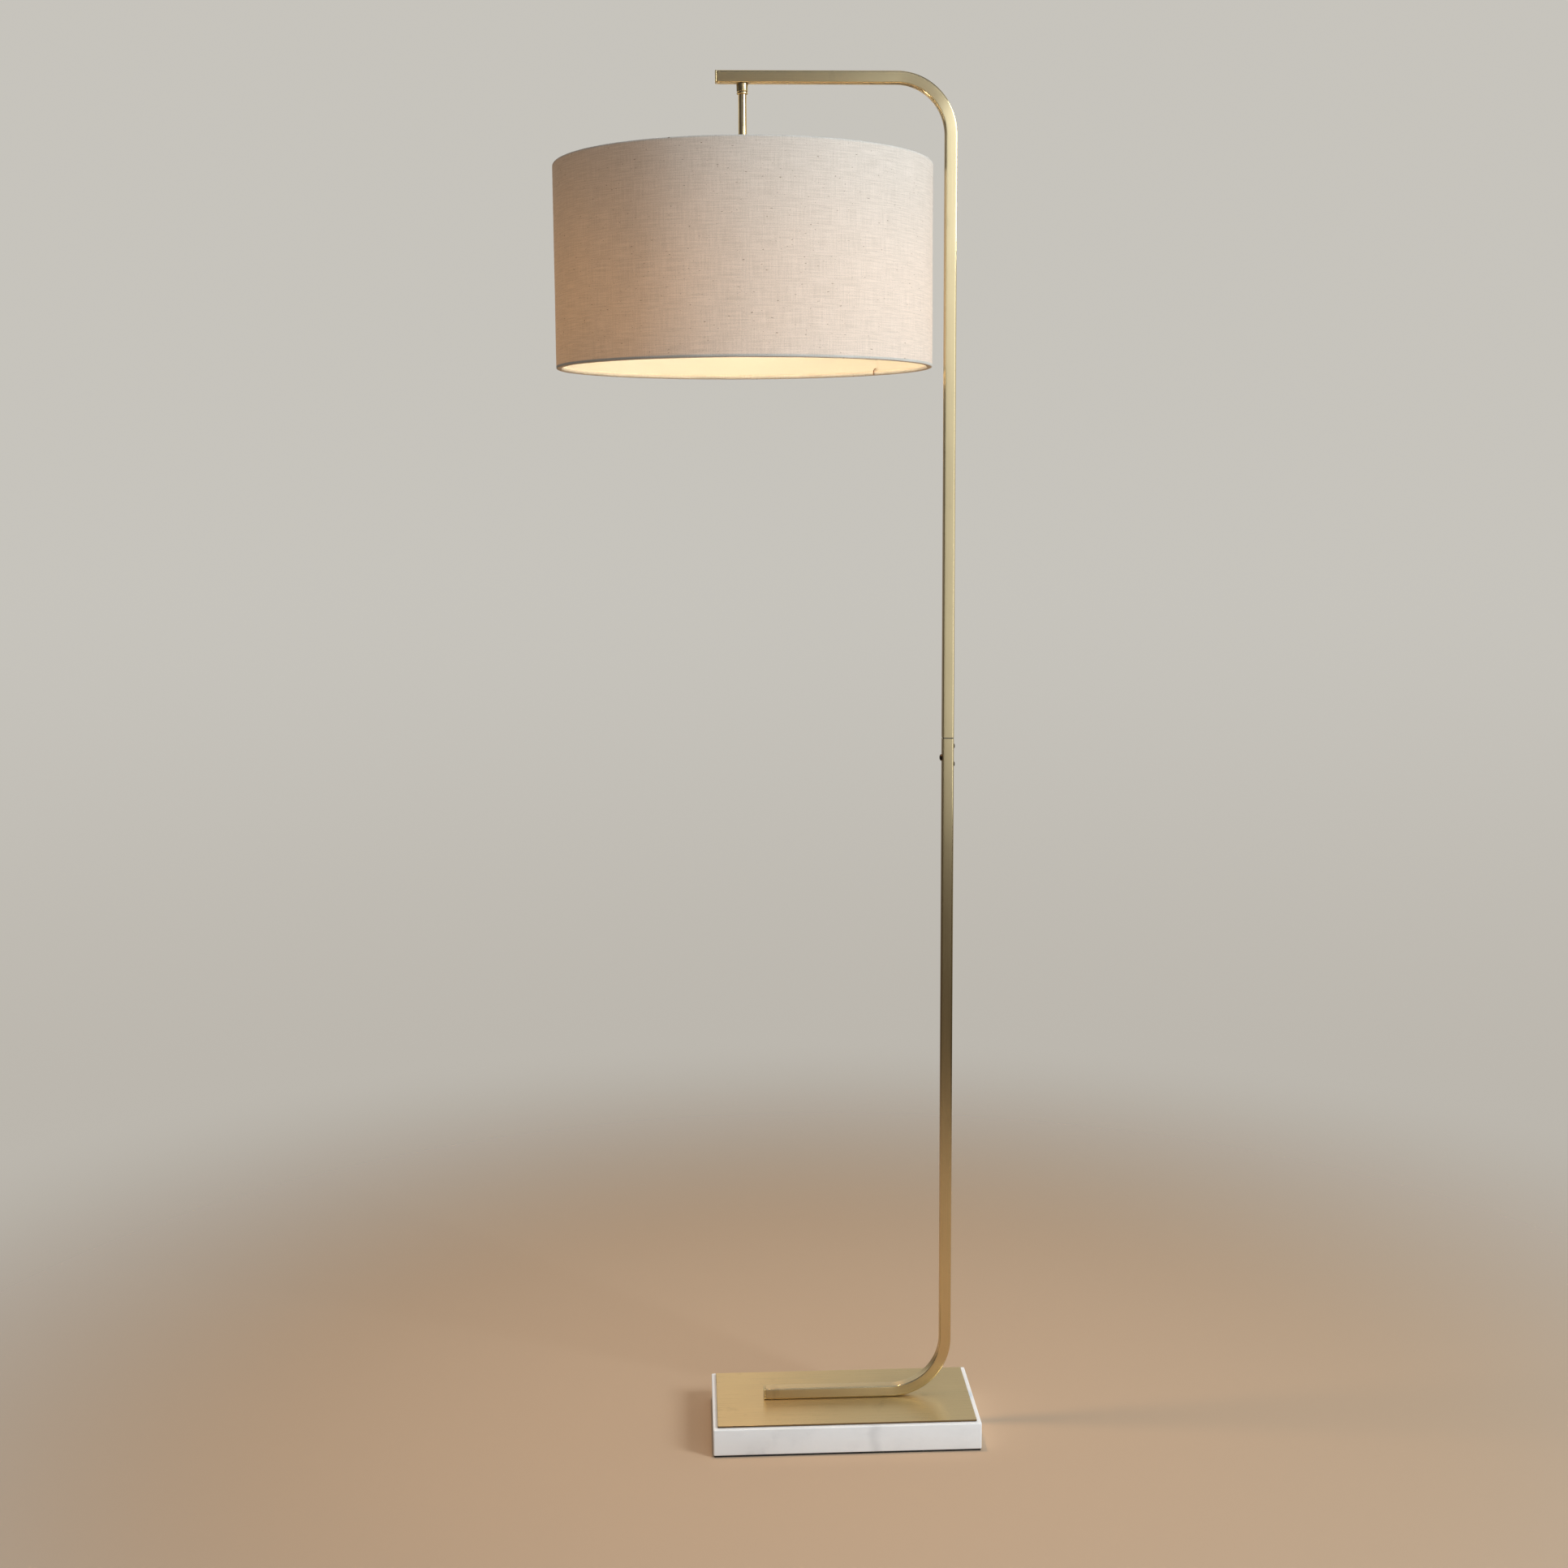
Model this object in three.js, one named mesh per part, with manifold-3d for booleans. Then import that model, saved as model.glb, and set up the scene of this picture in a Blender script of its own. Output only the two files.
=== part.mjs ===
// Arc floor lamp: a stone and brass foot, a square tube that bends up and over, and a drum shade
// hung from the end of the arm. Millimetres, +Z up, origin at the centre of the base's underside.
// The tube lies in the plane y = 0, with the post at +X and the arm reaching towards -X.
import * as THREE from 'three';
import { mergeVertices } from 'three/addons/utils/BufferGeometryUtils.js';
import Module from 'manifold-3d';

const wasm = await Module();
wasm.setup();

// ---------------------------------------------------------------- driving dimensions
const GAP = 0.3;                 // clearance between pieces that touch
const HEIGHT = 1500;             // floor to the top of the arm

const BASE_LENGTH = 300;
const BASE_DEPTH = 150;
const SLAB_THICKNESS = 30;
const SLAB_EDGE = 1.2;           // small chamfer round the honed slab
const PAD_THICKNESS = 2;
const PAD_INSET = 1;
const PLATE_THICKNESS = 2;
const PLATE_INSET = 5;

const TUBE = 12.7;               // half-inch square tube
const TUBE_WALL = 1.2;
const TUBE_CORNER = 1.3;
const LOW_BEND = 62;             // centre-line radius of the bend at the foot
const TOP_BEND = 58;             // centre-line radius of the bend at the arm
const BEND_STEPS = 12;
const POST_X = 117;
const REACH = 220;               // post to the shade's axis
const LEG_LENGTH = 208;          // post to the leg's tip
const ARM_LENGTH = 248.5;        // post to the arm's tip
const END_PLATE = 1.5;           // thickness of the plates that close the tube's ends
const PLUG_LENGTH = 8;

const JOINT_Z = 795;             // where the upper tube stands on the lower tube
const SPIGOT_BELOW = 48;
const SPIGOT_ABOVE = 40;
const BUTTON_SCREW_Z = 773;
const PAN_SCREW_UPPER_Z = 785.7;
const PAN_SCREW_LOWER_Z = 765.8;

const GLAND_Z = 138;             // cord inlet at the back of the post
const GLAND_HOLE_R = 4;
const FLEX_D = 4.5;

const COLLAR_TOP_D = 12.4;       // the collar narrows slightly downwards
const COLLAR_LOW_D = 11.8;
const COLLAR_HEIGHT = 8.3;
const CHECK_RING_HEIGHT = 2.2;
const COLLAR_EDGE = 0.5;         // chamfer on the collar and the check ring
const ROD_D = 9;
const STUD_D = 6.8;
const STUD_BORE = 5.3;
const STUD_INSERTION = 14;       // how far the stud reaches into the rod

const SHADE_D = 400;
const SHADE_BOTTOM = 1193;
const SHADE_TOP = 1403;
const FABRIC_THICKNESS = 1.1;
const LINING_THICKNESS = 1;
const RING_WIRE_D = 4;
const ARM_WIRE_D = 4;
const HUB_Z = 1330;              // where the shade's hub sits on the lampholder
const HUB_R = 26;

const BOLT_R = 2.5;
const BOLT_HEAD_R = 4.6;
const BOLT_HEAD_HEIGHT = 4.6;
const BOLT_HOLE_R = 3.1;
const COUNTERBORE_R = 10;
const COUNTERBORE_DEPTH = 9;
const WASHER_R = 8;
const WASHER_THICKNESS = 1.5;
const LEG_NUT_LENGTH = 14;
const LEG_NUT_HEIGHT = 6;

const SPIGOT_WALL = 1.4;
const BUTTON_SCREW = { head: 3.6, crown: 2.4, radius: 2, hole: 2.3, key: 1.3 };
const PAN_SCREW = { head: 2.5, crown: 1.3, radius: 1.6, hole: 1.9, key: 0.8 };

const HOLDER_D = 39.5;
const HOLDER_SKIN = 1.6;         // moulded wall of the lampholder's cap
const SKIRT_BORE_R = 16;
const SHELL_R = 14.6;            // outside of the screw shell
const SHELL_WALL = 0.5;
const CLAMP_RING_R = 28;
const CLAMP_RING_HEIGHT = 7;
const THREAD_PITCH = 6;          // spacing of the moulded and rolled thread ridges
const BULB_LENGTH = 108;
const BULB_BALL_R = 30;
const BULB_NECK_R = 11.2;
const BULB_CAP_HEIGHT = 24;
const GLASS_WALL = 0.9;

const ROUND = 48;                // facets round the shade
const TURNED = 20;               // facets round small turned pieces
const WIRE_SIDES = 6;            // facets round the frame's wires
const DRILLED = 12;              // facets round a drilled hole
const DRILL_DEPTH = 4;           // enough to pass through the tube's wall

// ---------------------------------------------------------------- derived places
const HALF = TUBE / 2;
const SLAB_Z = PAD_THICKNESS + GAP;
const SLAB_TOP = SLAB_Z + SLAB_THICKNESS;
const PLATE_Z = SLAB_TOP + GAP;
const PLATE_TOP = PLATE_Z + PLATE_THICKNESS;
const LEG_Z = PLATE_TOP + GAP + HALF;
const ARM_Z = HEIGHT - HALF;
const HANG_X = POST_X - REACH;
const LEG_TIP_X = POST_X - LEG_LENGTH;
const ARM_TIP_X = POST_X - ARM_LENGTH;
const BORE = TUBE - 2 * TUBE_WALL;
const BOLT_XS = [LEG_TIP_X + 28, LEG_TIP_X + 112];

// ---------------------------------------------------------------- finishes
const BRASS = { color: 0xb59a63, metalness: 1, roughness: 0.34 };
const POLISHED = { color: 0xc2a468, metalness: 1, roughness: 0.2 };
const STEEL = { color: 0x9a9a98, metalness: 1, roughness: 0.35 };
const DARK_STEEL = { color: 0x2c2826, metalness: 0.9, roughness: 0.45 };
const MARBLE = { color: 0xe9e7e3, metalness: 0, roughness: 0.35 };
const RUBBER = { color: 0x1c1b1a, metalness: 0, roughness: 0.9 };
const FLEX = { color: 0xd9d5cc, metalness: 0, roughness: 0.6 };
const PLASTIC = { color: 0x1a1a1a, metalness: 0, roughness: 0.5 };
const CERAMIC = { color: 0xf1efe8, metalness: 0, roughness: 0.4 };
const LINEN = { color: 0xd8cdbd, metalness: 0, roughness: 0.95 };
const LINING = { color: 0xf6f0df, metalness: 0, roughness: 0.7 };
const WHITE_ENAMEL = { color: 0xf0eee8, metalness: 0.1, roughness: 0.4 };
const OPAL = { color: 0xfff4dc, metalness: 0, roughness: 0.3 };

const lamp = new THREE.Group();

// ---------------------------------------------------------------- solid helpers

// Merges shared corners, drops collapsed triangles and turns every face outwards.
function closed(geometry) {
  const bare = geometry.clone();
  for (const name of Object.keys(bare.attributes)) {
    if (name !== 'position') bare.deleteAttribute(name);
  }
  const merged = mergeVertices(bare, 1e-4);
  const at = merged.attributes.position;
  const faces = [];
  const a = new THREE.Vector3();
  const b = new THREE.Vector3();
  const c = new THREE.Vector3();
  let volume = 0;
  for (let i = 0; i < merged.index.count; i += 3) {
    const [p, q, r] = [0, 1, 2].map((k) => merged.index.getX(i + k));
    if (p === q || q === r || r === p) continue;
    faces.push([p, q, r]);
    a.fromBufferAttribute(at, p);
    b.fromBufferAttribute(at, q);
    c.fromBufferAttribute(at, r);
    volume += a.dot(b.cross(c));
  }
  if (volume < 0) faces.forEach((face) => face.reverse());
  merged.setIndex(faces.flat());
  return merged;
}

function toManifold(geometry) {
  const solid = closed(geometry);
  return new wasm.Manifold(new wasm.Mesh({
    numProp: 3,
    vertProperties: new Float32Array(solid.attributes.position.array),
    triVerts: new Uint32Array(solid.index.array),
  }));
}

function fromManifold(manifold) {
  const mesh = manifold.getMesh();
  const geometry = new THREE.BufferGeometry();
  geometry.setAttribute('position', new THREE.BufferAttribute(mesh.vertProperties, 3));
  geometry.setIndex(new THREE.BufferAttribute(mesh.triVerts, 1));
  return geometry;
}

function cut(geometry, tools) {
  const left = tools.reduce((body, tool) => body.subtract(toManifold(tool)), toManifold(geometry));
  return fromManifold(left);
}

function join(geometries) {
  return fromManifold(geometries.map(toManifold).reduce((all, one) => all.add(one)));
}

function add(name, geometry, finish, at = [0, 0, 0]) {
  const solid = closed(geometry);
  solid.computeVertexNormals();
  const mesh = new THREE.Mesh(solid, new THREE.MeshStandardMaterial(finish));
  mesh.name = name;
  mesh.position.set(...at);
  lamp.add(mesh);
}

// ---------------------------------------------------------------- shape helpers

// Rectangle with rounded corners, as a Shape or as a hole's Path.
function rounded(width, height, radius, segments, Kind = THREE.Shape) {
  const outline = new Kind();
  const points = [];
  const corners = [[1, 1], [-1, 1], [-1, -1], [1, -1]];
  corners.forEach(([sx, sy], quarter) => {
    for (let i = 0; i <= segments; i += 1) {
      const angle = (quarter + i / Math.max(segments, 1)) * Math.PI / 2;
      points.push(new THREE.Vector2(
        sx * (width / 2 - radius) + radius * Math.cos(angle),
        sy * (height / 2 - radius) + radius * Math.sin(angle),
      ));
      if (segments === 0) break;
    }
  });
  outline.setFromPoints(points);
  return outline;
}

function square(size) {
  const h = size / 2;
  const corners = [[h, h], [-h, h], [-h, -h], [h, -h]];
  return corners.map(([x, y]) => new THREE.Vector2(x, y));
}

// A solid of revolution about the z axis through the origin, from [radius, z] pairs.
function turned(profile, facets = TURNED) {
  const points = profile.map(([r, z]) => new THREE.Vector2(r, z));
  return new THREE.LatheGeometry(points, facets).rotateX(Math.PI / 2);
}

// A sleeve of revolution: closed section between two radii.
function sleeve(inner, outer, z0, z1, facets = TURNED) {
  return turned([[inner, z0], [outer, z0], [outer, z1], [inner, z1], [inner, z0]], facets);
}

function rodAlong(axis, radius, length, facets = DRILLED) {
  const geometry = new THREE.CylinderGeometry(radius, radius, length, facets);
  if (axis === 'x') geometry.rotateZ(Math.PI / 2);
  if (axis === 'z') geometry.rotateX(Math.PI / 2);
  return geometry;
}

// A path whose sections stand exactly at its stations, each square to the path's own direction.
class StationPath extends THREE.Curve {
  constructor(stations) {
    super();
    this.stations = stations;
  }

  station(t) {
    return this.stations[Math.round(t * (this.stations.length - 1))];
  }

  getPoint(t) {
    return this.station(t).at.clone();
  }

  getPointAt(t) {
    return this.getPoint(t);
  }

  getTangentAt(t) {
    return this.station(t).along.clone();
  }
}

function straightTo(stations, x, z) {
  const last = stations[stations.length - 1];
  stations.push({ at: new THREE.Vector3(x, 0, z), along: last.along.clone() });
}

// Adds a quarter bend in the plane y = 0 about (x, z), from one heading to the next.
function bend(stations, x, z, radius, start, sweep) {
  for (let i = 1; i <= BEND_STEPS; i += 1) {
    const angle = start + sweep * i / BEND_STEPS;
    const turn = Math.sign(sweep);
    stations.push({
      at: new THREE.Vector3(x + radius * Math.cos(angle), 0, z + radius * Math.sin(angle)),
      along: new THREE.Vector3(-turn * Math.sin(angle), 0, turn * Math.cos(angle)),
    });
  }
}

function sweepSection(shape, stations) {
  return new THREE.ExtrudeGeometry(shape, {
    steps: stations.length - 1,
    extrudePath: new StationPath(stations),
    bevelEnabled: false,
  });
}

function tubeSection() {
  const section = rounded(TUBE, TUBE, TUBE_CORNER, 3);
  section.holes.push(new THREE.Path(square(BORE)));
  return section;
}

function at(geometry, x, y, z) {
  return geometry.translate(x, y, z);
}

// ---------------------------------------------------------------- base
function makeBase() {
  const pad = new THREE.BoxGeometry(
    BASE_LENGTH - 2 * PAD_INSET, BASE_DEPTH - 2 * PAD_INSET, PAD_THICKNESS);
  add('base_pad', pad, RUBBER, [0, 0, PAD_THICKNESS / 2]);

  const slab = new THREE.ExtrudeGeometry(
    rounded(BASE_LENGTH - 2 * SLAB_EDGE, BASE_DEPTH - 2 * SLAB_EDGE, SLAB_EDGE, 2), {
      depth: SLAB_THICKNESS - 2 * SLAB_EDGE,
      bevelEnabled: true,
      bevelSize: SLAB_EDGE,
      bevelThickness: SLAB_EDGE,
      bevelSegments: 2,
    });
  at(slab, 0, 0, SLAB_Z + SLAB_EDGE);
  const below = 1;
  const boreZ = SLAB_Z + (COUNTERBORE_DEPTH - below) / 2;
  const slabCuts = BOLT_XS.flatMap((x) => [
    at(rodAlong('z', COUNTERBORE_R, COUNTERBORE_DEPTH + below), x, 0, boreZ),
    at(rodAlong('z', BOLT_HOLE_R, SLAB_THICKNESS + 2), x, 0, SLAB_Z + SLAB_THICKNESS / 2),
  ]);
  add('marble_slab', cut(slab, slabCuts), MARBLE);

  const plate = new THREE.ExtrudeGeometry(
    rounded(BASE_LENGTH - 2 * PLATE_INSET, BASE_DEPTH - 2 * PLATE_INSET, 0.8, 2),
    { depth: PLATE_THICKNESS, bevelEnabled: false });
  at(plate, 0, 0, PLATE_Z);
  const plateHoles = BOLT_XS.map((x) => at(rodAlong('z', BOLT_HOLE_R, 8), x, 0, PLATE_Z));
  add('brass_plate', cut(plate, plateHoles), BRASS);

  // Each bolt rises from its counterbore, through a washer, into a nut block inside the leg.
  const washerTop = SLAB_Z + COUNTERBORE_DEPTH - GAP;
  const headTop = washerTop - WASHER_THICKNESS - GAP;
  const headBottom = headTop - BOLT_HEAD_HEIGHT;
  const nutBottom = LEG_Z - BORE / 2 + GAP;
  const boltTop = nutBottom + LEG_NUT_HEIGHT - 0.4;
  const loose = GAP * 0.8;
  BOLT_XS.forEach((x, i) => {
    const side = ['outer', 'inner'][i];
    const bolt = turned([[0, headBottom], [BOLT_HEAD_R, headBottom], [BOLT_HEAD_R, headTop],
      [BOLT_R, headTop], [BOLT_R, boltTop], [0, boltTop]]);
    const socket = at(rodAlong('z', BOLT_HEAD_R / 2, 3, 6), 0, 0, headBottom);
    add(`base_bolt_${side}`, cut(bolt, [socket]), STEEL, [x, 0, 0]);
    const washer = sleeve(BOLT_R + loose, WASHER_R, washerTop - WASHER_THICKNESS, washerTop);
    add(`base_washer_${side}`, washer, STEEL, [x, 0, 0]);
    const block = new THREE.BoxGeometry(LEG_NUT_LENGTH, BORE - 2 * GAP, LEG_NUT_HEIGHT);
    const nut = at(block, 0, 0, nutBottom + LEG_NUT_HEIGHT / 2);
    const thread = at(rodAlong('z', BOLT_R + loose, 4 * LEG_NUT_HEIGHT), 0, 0, nutBottom);
    add(`leg_nut_${side}`, cut(nut, [thread]), STEEL, [x, 0, 0]);
  });
}

// ---------------------------------------------------------------- lower and upper tubes
function makeLowerTube() {
  const start = LEG_TIP_X + END_PLATE + GAP;
  const stations = [{ at: new THREE.Vector3(start, 0, LEG_Z), along: new THREE.Vector3(1, 0, 0) }];
  straightTo(stations, POST_X - LOW_BEND, LEG_Z);
  bend(stations, POST_X - LOW_BEND, LEG_Z + LOW_BEND, LOW_BEND, -Math.PI / 2, Math.PI / 2);
  straightTo(stations, POST_X, JOINT_Z - GAP);
  const holes = BOLT_XS.map((x) => at(rodAlong('z', BOLT_HOLE_R, DRILL_DEPTH), x, 0, LEG_Z - HALF));
  holes.push(at(rodAlong('y', GLAND_HOLE_R, DRILL_DEPTH), POST_X, HALF, GLAND_Z));
  holes.push(...jointHoles(HALF));
  add('lower_tube', cut(sweepSection(tubeSection(), stations), holes), BRASS);
  makeEndCap('leg_end_cap', LEG_TIP_X, LEG_Z);
}

function makeUpperTube() {
  const end = ARM_TIP_X + END_PLATE + GAP;
  const stations = [{ at: new THREE.Vector3(POST_X, 0, JOINT_Z), along: new THREE.Vector3(0, 0, 1) }];
  straightTo(stations, POST_X, ARM_Z - TOP_BEND);
  bend(stations, POST_X - TOP_BEND, ARM_Z - TOP_BEND, TOP_BEND, 0, Math.PI / 2);
  straightTo(stations, end, ARM_Z);
  const studHole = at(rodAlong('z', STUD_D / 2 + GAP, DRILL_DEPTH), HANG_X, 0, ARM_Z - HALF);
  add('upper_tube', cut(sweepSection(tubeSection(), stations), [studHole]), BRASS);
  makeEndCap('arm_end_cap', ARM_TIP_X, ARM_Z);
}

// A plate over the tube's end, with a square plug on its inner side.
function makeEndCap(name, tipX, z) {
  const stations = [tipX, tipX + END_PLATE].map((x) => ({
    at: new THREE.Vector3(x, 0, z), along: new THREE.Vector3(1, 0, 0),
  }));
  const plate = sweepSection(rounded(TUBE, TUBE, TUBE_CORNER, 3), stations);
  const length = PLUG_LENGTH + END_PLATE / 2;
  const plug = new THREE.BoxGeometry(length, BORE - 2 * GAP, BORE - 2 * GAP);
  at(plug, tipX + END_PLATE / 2 + length / 2, 0, z);
  add(name, join([plate, plug]), BRASS);
}

// ---------------------------------------------------------------- knock-down joint in the post

// The three screw holes, in walls that lie this far from the post's centre.
function jointHoles(offset) {
  return [
    at(rodAlong('x', BUTTON_SCREW.hole, DRILL_DEPTH), POST_X - offset, 0, BUTTON_SCREW_Z),
    at(rodAlong('x', PAN_SCREW.hole, DRILL_DEPTH), POST_X + offset, 0, PAN_SCREW_UPPER_Z),
    at(rodAlong('x', PAN_SCREW.hole, DRILL_DEPTH), POST_X + offset, 0, PAN_SCREW_LOWER_Z),
  ];
}

function makeJoint() {
  const outer = BORE - 2 * GAP;
  const inner = outer - 2 * SPIGOT_WALL;
  const bottom = JOINT_Z - SPIGOT_BELOW;
  const top = JOINT_Z + SPIGOT_ABOVE;
  const section = new THREE.Shape(square(outer));
  section.holes.push(new THREE.Path(square(inner)));
  const sleeveTube = new THREE.ExtrudeGeometry(section, { depth: top - bottom, bevelEnabled: false });
  at(sleeveTube, POST_X, 0, bottom);
  add('joint_spigot', cut(sleeveTube, jointHoles(outer / 2)), STEEL);

  const shank = HALF - inner / 2 + 0.4;
  makeScrew('joint_button_screw', -1, BUTTON_SCREW_Z, BUTTON_SCREW, shank);
  makeScrew('joint_pan_screw_upper', 1, PAN_SCREW_UPPER_Z, PAN_SCREW, shank);
  makeScrew('joint_pan_screw_lower', 1, PAN_SCREW_LOWER_Z, PAN_SCREW, shank);
}

// A domed screw driven into the post's left (-1) or right (+1) face, with a hexagonal socket.
function makeScrew(name, side, z, size, shank) {
  const profile = [[0, -shank], [size.radius, -shank], [size.radius, GAP], [size.head, GAP]];
  const steps = 4;
  for (let i = 0; i <= steps; i += 1) {
    const angle = (i / steps) * Math.PI / 2;
    const rise = size.crown * (0.35 + 0.65 * Math.sin(angle));
    profile.push([size.head * Math.cos(angle), GAP + rise]);
  }
  profile[profile.length - 1][0] = 0;
  const socket = at(rodAlong('z', size.key, 1.6, 6), 0, 0, GAP + size.crown);
  const screw = cut(turned(profile, DRILLED), [socket]).rotateY(side * Math.PI / 2);
  add(name, at(screw, POST_X + side * HALF, 0, z), DARK_STEEL);
}

// ---------------------------------------------------------------- cord inlet and the flex inside
function makeWiring() {
  const bore = FLEX_D / 2 + GAP;
  const neck = GLAND_HOLE_R - GAP;
  const inside = -2.6;
  const face = 2.2;
  const gland = turned([[bore, inside], [neck, inside], [neck, GAP], [5.4, GAP], [5.4, 1.4], [4.6, face],
    [bore, face], [bore, inside]]).rotateX(-Math.PI / 2);
  add('cord_gland', at(gland, POST_X, HALF, GLAND_Z), RUBBER);

  // The flex rises in the post, turns along the arm and drops through the rod to the lampholder.
  const turnSteps = 5;
  const entry = 3;
  const entryY = 3.5;
  const stations = [HALF + 1.6, entryY].map((y) => ({
    at: new THREE.Vector3(POST_X, y, GLAND_Z), along: new THREE.Vector3(0, -1, 0),
  }));
  for (let i = 1; i <= turnSteps; i += 1) {
    const angle = (i / turnSteps) * Math.PI / 2;
    const y = entryY - entry * Math.sin(angle);
    stations.push({
      at: new THREE.Vector3(POST_X, y, GLAND_Z + entry - entry * Math.cos(angle)),
      along: new THREE.Vector3(0, -Math.cos(angle), Math.sin(angle)),
    });
  }
  straightTo(stations, POST_X, GLAND_Z + 30);
  straightTo(stations, POST_X, ARM_Z - TOP_BEND);
  bend(stations, POST_X - TOP_BEND, ARM_Z - TOP_BEND, TOP_BEND, 0, Math.PI / 2);
  const drop = 5.6;
  const lift = 2.2;
  straightTo(stations, HANG_X + drop + 30, ARM_Z);
  straightTo(stations, HANG_X + drop, ARM_Z + lift);
  const turnZ = ARM_Z + lift - drop;
  for (let i = 1; i <= turnSteps; i += 1) {
    const angle = (i / turnSteps) * Math.PI / 2;
    stations.push({
      at: new THREE.Vector3(HANG_X + drop - drop * Math.sin(angle), 0, turnZ + drop * Math.cos(angle)),
      along: new THREE.Vector3(-Math.cos(angle), 0, -Math.sin(angle)),
    });
  }
  straightTo(stations, HANG_X, HUB_Z + 20);
  const section = new THREE.Shape();
  section.setFromPoints(Array.from({ length: 8 }, (_, i) => {
    const angle = (i + 0.5) * Math.PI / 4;
    return new THREE.Vector2(FLEX_D / 2 * Math.cos(angle), FLEX_D / 2 * Math.sin(angle));
  }));
  add('supply_flex', sweepSection(section, stations), FLEX);
}

// ---------------------------------------------------------------- swivel and drop rod

// A ring with chamfered outer edges, whose outside may taper between its low and high radius.
function chamferedRing(bore, low, high, z0, z1) {
  return turned([[bore, z0], [low - COLLAR_EDGE, z0], [low, z0 + COLLAR_EDGE], [high, z1 - COLLAR_EDGE],
    [high - COLLAR_EDGE, z1], [bore, z1], [bore, z0]]);
}

const COLLAR_TOP = ARM_Z - HALF - GAP;
const CHECK_TOP = COLLAR_TOP - COLLAR_HEIGHT - GAP;
const ROD_TOP = CHECK_TOP - 0.2;
const ROD_BOTTOM = HUB_Z + 17;

function makeSwivel() {
  // Hollow stud: its head lies on the inside of the arm's lower wall, its shank runs into the rod.
  const floor = ARM_Z - BORE / 2 + GAP;
  const bottom = CHECK_TOP - STUD_INSERTION;
  const headR = 4.6;
  const headTop = floor + 1.2;
  const stud = turned([[STUD_BORE / 2, bottom], [STUD_D / 2, bottom], [STUD_D / 2, floor], [headR, floor],
    [headR, headTop], [STUD_BORE / 2, headTop], [STUD_BORE / 2, bottom]]);
  add('swivel_stud', stud, STEEL, [HANG_X, 0, 0]);

  const collar = chamferedRing(STUD_D / 2 + GAP, COLLAR_LOW_D / 2, COLLAR_TOP_D / 2,
    COLLAR_TOP - COLLAR_HEIGHT, COLLAR_TOP);
  add('swivel_collar', collar, POLISHED, [HANG_X, 0, 0]);
  const ring = chamferedRing(ROD_D / 2 + GAP, COLLAR_LOW_D / 2, COLLAR_LOW_D / 2,
    CHECK_TOP - CHECK_RING_HEIGHT, CHECK_TOP);
  add('rod_check_ring', ring, POLISHED, [HANG_X, 0, 0]);

  const wide = STUD_D / 2 + GAP;
  const step = bottom - 2;
  const narrow = STUD_BORE / 2 + GAP;
  const rod = turned([[narrow, ROD_BOTTOM], [ROD_D / 2, ROD_BOTTOM], [ROD_D / 2, ROD_TOP], [wide, ROD_TOP],
    [wide, step], [narrow, step], [narrow, ROD_BOTTOM]]);
  add('drop_rod', rod, POLISHED, [HANG_X, 0, 0]);
}

// ---------------------------------------------------------------- lampholder and bulb
const CAP_TOP = HUB_Z + 30;
const SKIRT_TOP = HUB_Z + 2;
const SKIRT_BOTTOM = HUB_Z - 32;
const INSERT_BOTTOM = SKIRT_TOP - 9;
const CONTACT_HEIGHT = 1.6;

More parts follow.
